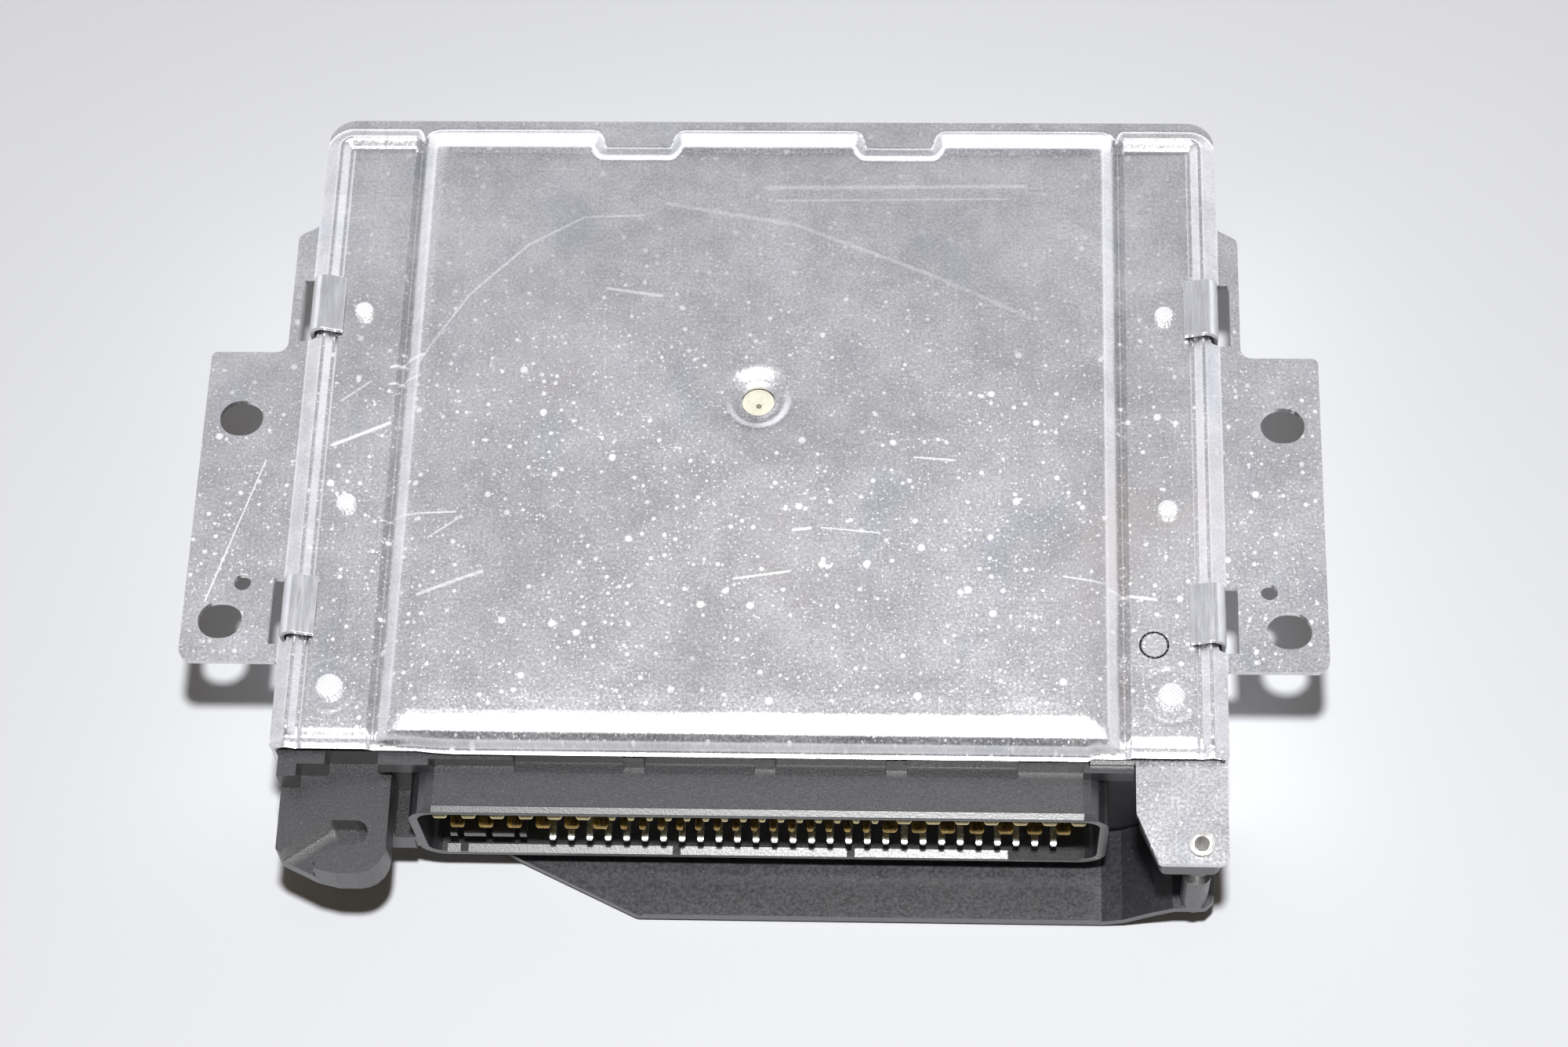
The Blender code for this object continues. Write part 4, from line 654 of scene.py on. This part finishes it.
    def outline(self):
        w, shoulder, ear = self.WIDTH_HALF, self.WIDTH_HALF + 3.85, self.WIDTH_HALF + 17.6
        right = [
            (w, self.FRONT, 0.6), (w, -7.85, 0.8), (ear, -7.85, 2.4), (ear, 53.65, 1.2),
            (shoulder, 53.65, 2.0), (shoulder, 78.2, 1.6), (w, 80.4, 1.8), (w, self.BACK, self.CORNER),
        ]
        left = [(-x, y, r) for x, y, r in reversed(right)]
        whole = right + left
        return rounded([(x, y) for x, y, _ in whole], [r for _, _, r in whole], 8)

    def openings(self):
        """Every punched opening, and the place of the dimple's dish."""
        cuts = [circle(*self.DIMPLE, self.DISH_RIM, 72)]
        for sign in (-1, 1):
            for y in self.SLOT_YS:
                cuts.append(obround(sign * self.SLOT_X, y, *self.SLOT))
            cuts.append(circle(sign * self.HOLE[0], *self.HOLE[1:], 28))
            for y in TAB_CENTRES:
                ends = sorted(sign * x for x in self.TAB_SLOT)
                reach = self.TAB_SLOT_HALF
                cuts.append(rectangle(*ends, y - reach, y + reach, 0.4, 3))
        return cuts

    def stations(self):
        """Grid lines, close together only where the sheet bends."""
        edge = self.WIDTH_HALF
        near, far = self.NOTCH
        half = spread(0.0, near - 4.0, 2.4)
        half += spread(near - 4.0, near + 1.0, 0.35) + spread(near + 1.0, far - 1.0, 2.6)
        half += spread(far - 1.0, far + 4.0, 0.35) + spread(far + 4.0, 57.0, 3.4)
        half += spread(57.0, 66.4, 0.3) + spread(66.4, 75.4, 0.38)
        half += spread(75.4, edge + 1.0, 0.3) + spread(edge + 1.0, edge + 20.0, 2.4)
        xs = sorted({round(sign * value, 4) for value in half for sign in (-1, 1)})
        ys = [self.FRONT - 2.0] + spread(self.FRONT + 0.01, self.FRONT + 7.5, 0.27)
        ys += spread(self.FRONT + 7.5, -7.0, 0.45)
        ys += spread(-7.0, 89.0, 3.2) + spread(89.0, self.BACK + 2.0, 0.36)
        return xs, ys

    def nose(self, x, y):
        """How far the front edge stands back beside its middle part."""
        left, right = self.NOSE
        middle = smooth_step((x - left) / self.NOSE_SIDE) * smooth_step((right - x) / self.NOSE_SIDE)
        fade = 1 - smooth_step((y - self.FRONT) / self.NOSE_DEPTH)
        return self.NOSE_REACH * (1 - middle) * fade

    def dish(self, bm, rim):
        """Adds the dimple's dish and port hole inside the vertices `rim`, given as (angle, vertex)."""
        outer = [vert for _, vert in rim]
        for radius in self.DISH_RADII:
            z = FLANGE + self.pan + follow(self.DISH_LINE, radius, 0.15)
            inner = []
            for angle, _ in rim:
                x = self.DIMPLE[0] + radius * math.cos(angle)
                inner.append(bm.verts.new(place(x, self.DIMPLE[1] + radius * math.sin(angle), z)))
            for k in range(len(rim)):
                bm.faces.new((outer[k - 1], outer[k], inner[k], inner[k - 1]))
            outer = inner

    def mesh(self):
        """The cover's upper face, cut along its outline and openings, at its pressed height."""
        xs, ys = self.stations()
        points = []
        for x in xs:
            points += [Vector((x, ys[0])), Vector((x, ys[-1]))]
        for y in ys:
            points += [Vector((xs[0], y)), Vector((xs[-1], y))]
        lines = [(k, k + 1) for k in range(0, len(points), 2)]
        outline, openings = self.outline(), self.openings()
        for loop in [outline, *openings]:
            first, count = len(points), len(loop)
            points += [Vector(p) for p in loop]
            lines += [(first + k, first + (k + 1) % count) for k in range(count)]
        spots_2d, _, cells, *_ = delaunay_2d_cdt(points, lines, [], 0, 1e-4)
        bm = bmesh.new()
        made, rim = {}, []
        for cell in cells:
            middle = sum((spots_2d[k] for k in cell), Vector((0.0, 0.0))) / len(cell)
            if not inside(middle, outline) or any(inside(middle, hole) for hole in openings):
                continue
            for k in cell:
                if k not in made:
                    x, y = spots_2d[k]
                    made[k] = bm.verts.new(place(x, y + self.nose(x, y), FLANGE + self.height(x, y)))
                    if math.hypot(x - self.DIMPLE[0], y - self.DIMPLE[1]) < self.DISH_RIM + 0.01:
                        rim.append((math.atan2(y - self.DIMPLE[1], x - self.DIMPLE[0]), made[k]))
            bm.faces.new([made[k] for k in cell])
        self.dish(bm, sorted(rim, key=lambda spot: spot[0]))
        bmesh.ops.remove_doubles(bm, verts=bm.verts, dist=0.03 * MM)
        bmesh.ops.recalc_face_normals(bm, faces=bm.faces)
        if sum(f.normal.z for f in bm.faces) < 0:
            bmesh.ops.reverse_faces(bm, faces=bm.faces)
        return bm


# The longer scratches, as (start, end, width, strength) in mm in the frame
COVER_STROKES = (
    ((-62.5, 18.5), (-53.0, 34.0), 0.34, 0.5), ((-53.0, 34.0), (-43.0, 44.5), 0.34, 0.5),
    ((-43.0, 44.5), (-33.0, 50.5), 0.34, 0.45), ((-33.0, 50.5), (-22.0, 51.0), 0.34, 0.35),
    ((-87.8, 2.0), (-96.0, -26.0), 0.22, 0.85),
    ((-75.8, 4.5), (-66.0, 9.0), 0.5, 0.9), ((-75.0, 13.5), (-70.0, 17.5), 0.3, 0.6),
    ((-66.5, 20.5), (-60.5, 22.0), 0.45, 0.9), ((-66.5, 17.0), (-61.5, 17.6), 0.4, 0.8),
    ((-66.0, -10.5), (-52.5, -10.0), 0.3, 0.7), ((-57.0, -15.0), (-51.5, -11.0), 0.25, 0.6),
    ((-58.0, -26.0), (-47.0, -21.5), 0.5, 0.55),
    ((12.0, -12.5), (22.0, -13.4), 0.22, 0.7), ((7.0, -13.0), (10.0, -12.6), 0.4, 0.9),
    ((-3.0, -22.5), (6.5, -21.0), 0.3, 0.8), ((28.0, 1.5), (35.0, 1.0), 0.3, 0.75),
    ((-18.0, 53.5), (6.0, 49.0), 0.6, 0.3), ((6.0, 49.0), (32.0, 38.0), 0.6, 0.3),
    ((32.0, 38.0), (48.0, 30.0), 0.6, 0.25), ((0.0, 57.0), (47.0, 57.5), 0.6, 0.35),
    ((2.0, 54.2), (44.0, 54.8), 0.35, 0.35), ((-28.0, 35.5), (-18.0, 34.0), 0.5, 0.5),
    ((62.0, -23.5), (70.0, -24.5), 0.4, 0.8), ((54.0, -21.5), (61.0, -22.5), 0.3, 0.6),
)


class CONTROLUNIT_OT_cover(bpy.types.Operator):
    """Press the mounting cover with its pan, channels, ears and openings"""

    bl_idname = "controlunit.cover"
    bl_label = "Mounting cover"

    RING = (69.6, -3.6, 2.4)  # place and radius of the inspection ring

    def execute(self, context):
        sizes = context.scene.control_unit_cover
        shape = CoverShape(sizes)
        x, y, radius = self.RING
        ring = (x, y + SLOT_LINE, radius)
        metal = rolled_aluminium("rolled_aluminium_cover", 1.0, COVER_STROKES, ring)
        obj = piece("pressed_cover", shape.mesh(), metal, ["mounting_cover"])
        thick = obj.modifiers.new("Sheet thickness", "SOLIDIFY")
        thick.thickness = sizes.sheet
        thick.offset = -1.0
        thick.use_even_offset = True
        round_edges(obj, sizes.edge, 50).harden_normals = True
        return {"FINISHED"}


# Shell

class CONTROLUNIT_OT_shell(bpy.types.Operator):
    """Draw the lower shell and fold its four crimp tabs over the cover"""

    bl_idname = "controlunit.shell"
    bl_label = "Lower shell and crimp tabs"

    HALF, FRONT, BACK, TOP, SHEET = 82.0, -23.6, 102.6, 34.5, 1.0
    CORNER, FILLET = 5.0, 2.2
    TAB_LENGTH = 11.2
    TAB_ROOT, TAB_LIFT, TAB_BEND, TAB_TURN = 8.0, 1.4, 1.9, math.pi * 0.62
    TAB_END = ((4.3, 2.72), (6.1, 2.22))  # inwards from the wall, and up from the flange

    def tray(self):
        """U-shaped wall, round bottom edge and flat floor, as one drawn skin."""
        bm = bmesh.new()
        rings = []
        heights = [(0.0, self.TOP), (0.0, self.TOP / 2)]
        for k in range(7):
            a = math.pi / 2 * k / 6
            heights.append((self.FILLET * (1 - math.cos(a)), self.FILLET * (1 - math.sin(a))))
        for inset, z in heights:
            half, back = self.HALF - inset, self.BACK - inset
            radius = max(0.5, self.CORNER - inset)
            path = rounded(
                [(-half, self.FRONT), (-half, back), (half, back), (half, self.FRONT)],
                [0, radius, radius, 0], 8,
            )
            rings.append([bm.verts.new(place(x, y, z)) for x, y in path])
        for a, b in zip(rings, rings[1:]):
            for k in range(len(a) - 1):
                bm.faces.new((a[k], a[k + 1], b[k + 1], b[k]))
        bm.faces.new(rings[-1])
        bmesh.ops.recalc_face_normals(bm, faces=bm.faces)
        if max(bm.faces, key=lambda f: f.calc_area()).normal.z > 0:
            bmesh.ops.reverse_faces(bm, faces=bm.faces)
        return bm

    def tabs(self):
        """Tabs of the side walls, through the cover's slots and down into the channels."""
        bm = bmesh.new()
        half = self.SHEET / 2
        x, top = self.HALF - half, FLANGE + self.TAB_LIFT
        line = [(x, FLANGE - self.TAB_ROOT), (x, top)]
        for k in range(1, 9):
            a = self.TAB_TURN * k / 8
            line.append((x - self.TAB_BEND * (1 - math.cos(a)), top + self.TAB_BEND * math.sin(a)))
        line += [(self.HALF - inwards, FLANGE + up) for inwards, up in self.TAB_END]
        outer, inner = [], []
        for k, (u, v) in enumerate(line):
            before, after = line[max(0, k - 1)], line[min(len(line) - 1, k + 1)]
            along = Vector((after[0] - before[0], after[1] - before[1])).normalized()
            outer.append((u + along.y * half, v - along.x * half))
            inner.append((u - along.y * half, v + along.x * half))
        for sign in (-1, 1):
            outline = [(sign * u, v) for u, v in outer + inner[::-1]]
            for centre in TAB_CENTRES:
                reach = self.TAB_LENGTH / 2
                extrude(bm, outline, "Y", centre - reach, centre + reach)
        return bm

    def execute(self, context):
        metal = rolled_aluminium("rolled_aluminium_shell", spotted=0.25)
        shell = piece("shell_tray", self.tray(), metal, ["case_shell"])
        thick = shell.modifiers.new("Sheet thickness", "SOLIDIFY")
        thick.thickness = self.SHEET * MM
        thick.offset = -1.0
        folded = plain_metal("folded_aluminium", linear("#DCDCDD"), 0.3, (1.0, 0.1, 1.0), 0.25)
        piece("crimp_tabs", self.tabs(), folded, edge=0.13)
        return {"FINISHED"}


class CONTROLUNIT_OT_rivets(bpy.types.Operator):
    """Set the six rail rivets in the cover's channels"""

    bl_idname = "controlunit.rivets"
    bl_label = "Rail rivets"

    def execute(self, context):
        shape = CoverShape(context.scene.control_unit_cover)
        metal = plain_metal(
            "rivet_aluminium", linear("#F2F2F2"), 0.52, bumpy=0.8, uneven=0.06, knurl=0.55
        )
        seat = FLANGE + shape.channel
        number = 0
        for sign in (-1, 1):
            for y, radius in shape.RIVETS:
                number += 1
                bm = bmesh.new()
                profile = [
                    (0.0, seat - 0.5), (radius - 0.25, seat - 0.5), (radius - 0.05, seat + 0.1),
                    (radius, seat + 0.6), (radius - 0.12, seat + 0.95), (radius - 0.45, seat + 1.1),
                    (radius - 0.9, seat + 1.14), (0.0, seat + 1.16),
                ]
                lathe(bm, sign * shape.CHANNEL_X, y, profile, 36)
                name = f"rail_rivet_{number}"
                piece(f"rivet_head_{number}", bm, metal, [name], angle=50)
        return {"FINISHED"}


class CONTROLUNIT_OT_header(bpy.types.Operator):
    """Give the moulded plug header and the guard plate their finishes"""

    bl_idname = "controlunit.header"
    bl_label = "Plug header and guard plate"

    # The shroud's sloped front lip, as (y, z)
    LIP_SECTION = ((-32.2, 31.4), (-32.35, 31.63), (-33.72, 31.07), (-33.74, 30.4), (-33.0, 30.4))
    LIP_ENDS = (-54.2, 57.7)

    def execute(self, context):
        colours = context.scene.control_unit_colours
        header = moulded_plastic("glass_filled_plastic", colours.header, 0.35, 0.8, sheen=1.0)
        guard = moulded_plastic("moulded_guard_plastic", colours.guard, 0.34, 0.5, 0.6, 0.35, 1.0)
        edge = context.scene.control_unit_header.edge
        finish_nodes(["connector_housing"], header, edge)
        finish_nodes(["connector_guard"], guard, edge)
        bm = bmesh.new()
        extrude(bm, self.LIP_SECTION, "X", *self.LIP_ENDS)
        piece("shroud_lip", bm, header, edge=0.12)
        return {"FINISHED"}


class CONTROLUNIT_OT_contacts(bpy.types.Operator):
    """Set the three rows of plated contacts in their moulded bars"""

    bl_idname = "controlunit.contacts"
    bl_label = "Contacts"

    CENTRE, LOWER_CENTRE = 1.75, 9.05  # middle of the upper rows and of the lower row
    MIDDLE_ROW, FOOT, THICK = 20.1, 8.9, 0.7  # heights, and thickness of the sheet
    BAR_FRONT, BAR_BACK, BAR_HALF, BAR_SPARE = -21.1, -18.5, 2.0, 3.0
    WIDE_LEFT, WIDE_RIGHT = 6, 7
    # (name, rows above the middle one, narrow contacts, y of the legs, y of the tips)
    ROWS = (
        ("upper", 1, 15, -7.5, -32.3),
        ("middle", 0, 14, -10.5, -31.9),
        ("lower", -1, 0, -13.5, -32.1),
    )
    # The tip's thinning: (distance from its end, share of the width, share of the thickness)
    TIP = ((0.0, 0.62, 0.25), (0.18, 0.85, 0.6), (0.5, 1.0, 0.9), (0.9, 1.0, 1.0))

    def places(self, sizes, narrow_count):
        """(x, blade width) of every contact of a row."""
        wide, narrow = sizes.wide_pitch / MM, sizes.narrow_pitch / MM
        if not narrow_count:
            start = self.LOWER_CENTRE - (sizes.lower_count - 1) * narrow / 2
            return [(start + k * narrow, sizes.narrow_blade / MM) for k in range(sizes.lower_count)]
        step = wide if narrow_count == self.ROWS[0][2] else (wide + narrow) / 2
        groups = (
            (self.WIDE_LEFT, wide, sizes.wide_blade), (narrow_count, narrow, sizes.narrow_blade),
            (self.WIDE_RIGHT, wide, sizes.wide_blade),
        )
        found, x = [], 0.0
        for count, pitch, blade in groups:
            for k in range(count):
                found.append((x, blade / MM))
                x += pitch if k < count - 1 else step
        middle = (found[0][0] + found[-1][0]) / 2
        return [(self.CENTRE + x - middle, blade) for x, blade in found]

    def blade(self, bm, x, wide, z, leg, tip):
        """One stamped blade: rounded, thinned tip and a leg bent down behind the bar."""
        half, reach = self.THICK / 2, wide / 2
        sections = [(tip + along, reach * across, half * up) for along, across, up in self.TIP]
        sections.append((leg + half, reach, half))
        loft(bm, [
            [(x - u, y, z - v), (x + u, y, z - v), (x + u, y, z + v), (x - u, y, z + v)]
            for y, u, v in sections
        ])
        box(bm, x - reach, x + reach, leg - half, leg + half, self.FOOT, z - half)

    def execute(self, context):
        sizes = context.scene.control_unit_header
        colours = context.scene.control_unit_colours
        metals = {
            "upper": plain_metal("gold_flash_worn", colours.worn_gold, 0.3),
            "middle": plain_metal("gold_flash_bronze", colours.gold, 0.24, (2.0, 0.4, 1.0), 0.5, 0.22),
            "lower": plain_metal("bright_tin_plate", colours.tin, 0.24),
        }
        bars = moulded_plastic("contact_bar_plastic", linear("#19191B"), 0.5)
        for row, level, narrow_count, leg, tip in self.ROWS:
            z = self.MIDDLE_ROW + level * sizes.row_pitch / MM
            found = self.places(sizes, narrow_count)
            bm = bmesh.new()
            for x, wide in found:
                self.blade(bm, x, wide, z, leg, tip)
            name = f"contact_row_{row}"
            piece(f"contacts_{row}", bm, metals[row], [name], edge=0.09)
            bm = bmesh.new()
            box(
                bm, found[0][0] - self.BAR_SPARE, found[-1][0] + self.BAR_SPARE,
                self.BAR_FRONT, self.BAR_BACK, z - self.BAR_HALF, z + self.BAR_HALF,
            )
            piece(f"contact_bar_{row}", bm, bars, edge=0.3)
        return {"FINISHED"}


class CONTROLUNIT_OT_hinge(bpy.types.Operator):
    """Finish the hinge plate and its eyelet"""

    bl_idname = "controlunit.hinge"
    bl_label = "Hinge plate and eyelet"

    def execute(self, context):
        metal = rolled_aluminium("rolled_aluminium_plate", spotted=0.5)
        finish_nodes(["hinge_plate"], metal, 0.15 * MM)
        brass = plain_metal("nickelled_brass", linear("#EFEDE8"), 0.36)
        finish_nodes(["hinge_eyelet"], brass)
        return {"FINISHED"}


class CONTROLUNIT_OT_inside(bpy.types.Operator):
    """Finish the parts that stand inside the closed case"""

    bl_idname = "controlunit.inside"
    bl_label = "Inner parts"

    # (first words of the nodes' names, kind of finish, its name, colour and settings)
    FINISHES = (
        (("heat_rail",), plain_metal, "extruded_aluminium", "#DEDEDF", 0.32, (1.0, 0.05, 1.0)),
        (("transistor_clip", "board_screw", "crystal_can"), plain_metal, "spring_steel", "#B9BBBF",
         0.28, (0.2, 1.0, 1.0)),
        (("power_transistor", "processor", "memory", "driver_chip"), moulded_plastic, "chip_epoxy",
         "#2A2A2C", 0.55, 0.1),
        (("filter_capacitor",), moulded_plastic, "shrink_sleeve", "#24315F", 0.3, 0.05),
        (("circuit_board",), moulded_plastic, "board_laminate", "#2F6B3C", 0.35, 0.2),
        (("choke_ring",), plain_metal, "lacquered_copper", "#B4612F", 0.35),
        (("cover_gasket",), moulded_plastic, "gasket_rubber", "#1F1F20", 0.75, 0.1),
    )

    def execute(self, context):
        for words, finish, name, tint, *settings in self.FINISHES:
            finish_nodes(nodes_named(*words), finish(name, linear(tint), *settings))
        cream = context.scene.control_unit_colours.cream
        finish_nodes(["pressure_sensor"], moulded_plastic("cream_nylon", cream, 0.42, 0.05))
        return {"FINISHED"}


# Stage

class CONTROLUNIT_OT_stage(bpy.types.Operator):
    """Lay the table top, set the light and the camera"""

    bl_idname = "controlunit.stage"
    bl_label = "Table, light and camera"

    CAMERA_PLACE = (0.0367, -0.29895, 0.6122)
    CAMERA_ELEVATION, CAMERA_AZIMUTH, CAMERA_ROLL = 63.2107, 6.2269, -5.0599
    SENSOR, LENS = 36.0, 4681 / 2000 * 36.0  # mm; 4681 is the photograph's focal length in pixels
    KEY_PLACE, KEY_AIM, KEY_SIZE, KEY_ENERGY = (0.0416, -0.195, 0.80), (0.0, 0.0, 0.02), 0.05, 6.7
    TABLE_REACH = 0.42
    # The room in reflections, each as (from, to, strength there, strength here) along a
    # direction's height, side or depth; the diffuse fill is a share of it
    WALL, WALL_SIDES = (0.1, 0.42, 1.9, 0.0), (0.45, 0.95, 1.0, 0.45)
    CEILING, NEAR_SHADE = (0.35, 0.85, 0.2, 0.67), (-0.95, -0.3, 0.5, 1.0)
    FILL = 0.06

    def camera(self, context):
        data = bpy.data.cameras.new("photo_camera")
        data.lens = self.LENS
        data.sensor_width = self.SENSOR
        data.clip_end = 20.0
        camera = add_object("photo_camera", data)
        azimuth, tilt = math.radians(self.CAMERA_AZIMUTH), math.radians(90 - self.CAMERA_ELEVATION)
        turn = Matrix.Rotation(azimuth, 4, "Z") @ Matrix.Rotation(tilt, 4, "X")
        turn = turn @ Matrix.Rotation(math.radians(self.CAMERA_ROLL), 4, "Z")
        camera.matrix_world = Matrix.Translation(self.CAMERA_PLACE) @ turn
        context.scene.camera = camera

    def key_light(self):
        data = bpy.data.lights.new("key_light", "AREA")
        data.shape = "DISK"
        data.size = self.KEY_SIZE
        data.energy = self.KEY_ENERGY
        lamp = add_object("key_light", data)
        lamp.location = self.KEY_PLACE
        lamp.rotation_mode = "QUATERNION"
        way = Vector(self.KEY_AIM) - Vector(self.KEY_PLACE)
        lamp.rotation_quaternion = way.to_track_quat("-Z", "Y")

    def world(self, context):
        """A pale room behind and beside the table, dimmer on the camera's side; a little fill."""
        world = bpy.data.worlds.new("studio_room")
        world.use_nodes = True
        tree = world.node_tree
        way = node(tree, "SeparateXYZ", node(tree, "TexCoord").outputs["Generated"])
        side = node(tree, "Math ABSOLUTE", way.outputs[0])
        low = node(tree, "Math SUBTRACT", way.outputs[2], node(tree, "Math MULTIPLY", side, 0.5))
        wall = node(tree, "MapRange", low, *self.WALL, **SMOOTH)
        sides = node(tree, "MapRange", side, *self.WALL_SIDES, **SMOOTH)
        ceiling = node(tree, "MapRange", way.outputs[2], *self.CEILING, **SMOOTH)
        shade = node(tree, "MapRange", way.outputs[1], *self.NEAR_SHADE, **SMOOTH)
        room = node(tree, "Math ADD", node(tree, "Math MULTIPLY", wall, sides), ceiling)
        room = node(tree, "Math MULTIPLY", room, shade)
        pale = node(tree, "VectorMath SCALE", {0: linear("#F8F9FF"), 3: room})
        fill = tuple(self.FILL * c for c in linear("#FFE4BC"))
        path = node(tree, "LightPath")
        glossy, clear = path.outputs["Is Glossy Ray"], path.outputs["Is Transmission Ray"]
        seen = node(tree, "Math MAXIMUM", glossy, clear)
        shown = node(tree, "Mix", {0: seen, 6: fill, 7: pale}, **COLOUR).outputs[2]
        direct = {0: path.outputs["Is Camera Ray"], 6: shown, 7: linear("#E4E5E9")}
        shown = node(tree, "Mix", direct, **COLOUR).outputs[2]
        connect(tree, tree.nodes["Background"], {"Color": shown})
        context.scene.world = world

    def floor(self):
        """The table top: a pale painted sheet with hardly any clouds in it."""
        material, tree, shader, spot = start_material("painted_table_top")
        seen = patterns(tree, spot, {"clouds": ((1.0, 1.0, 1.0), 0.004, 2.0, 0.55)})
        tint = bpy.context.scene.control_unit_colours.floor
        base = mottled(tree, tint, 1.0, ((seen["clouds"], 0.3, 0.7, 0.015),))
        connect(tree, shader, {"Base Color": base, "Roughness": 0.6, "Specular IOR Level": 0.2})
        bm = bmesh.new()
        reach = self.TABLE_REACH
        corners = [(-reach, -reach), (reach, -reach), (reach, reach), (-reach, reach)]
        bm.faces.new([bm.verts.new((x, y, 0.0)) for x, y in corners])
        mesh = bpy.data.meshes.new("table_top")
        bm.to_mesh(mesh)
        bm.free()
        mesh.materials.append(material)
        add_object("table_top", mesh)

    def execute(self, context):
        self.floor()
        self.camera(context)
        self.key_light()
        self.world(context)
        context.scene.view_settings.view_transform = "Standard"
        return {"FINISHED"}


class CONTROLUNIT_PT_panel(bpy.types.Panel):
    """Lists the steps that build the control unit"""

    bl_idname = "CONTROLUNIT_PT_panel"
    bl_label = "Engine control unit"
    bl_space_type = "VIEW_3D"
    bl_region_type = "UI"
    bl_category = "Control unit"

    def draw(self, context):
        layout = self.layout
        for step in STEPS:
            layout.operator(step.bl_idname)
        for group in GROUPS:
            settings = getattr(context.scene, group)
            for name in settings.bl_rna.properties.keys():
                if name not in ("rna_type", "name"):
                    layout.prop(settings, name)


STEPS = (
    CONTROLUNIT_OT_cover,
    CONTROLUNIT_OT_shell,
    CONTROLUNIT_OT_rivets,
    CONTROLUNIT_OT_header,
    CONTROLUNIT_OT_contacts,
    CONTROLUNIT_OT_hinge,
    CONTROLUNIT_OT_inside,
    CONTROLUNIT_OT_stage,
)
GROUPS = {
    "control_unit_cover": CoverSizes,
    "control_unit_header": HeaderSizes,
    "control_unit_colours": FinishColours,
}
CLASSES = (*GROUPS.values(), *STEPS, CONTROLUNIT_PT_panel)


def register():
    for cls in CLASSES:
        bpy.utils.register_class(cls)
    for name, group in GROUPS.items():
        setattr(bpy.types.Scene, name, PointerProperty(type=group))


def unregister():
    for name in GROUPS:
        delattr(bpy.types.Scene, name)
    for cls in reversed(CLASSES):
        bpy.utils.unregister_class(cls)


def main():
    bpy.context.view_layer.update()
    register()
    for step in STEPS:
        group, name = step.bl_idname.split(".")
        getattr(getattr(bpy.ops, group), name)()


if __name__ == "__main__":
    main()
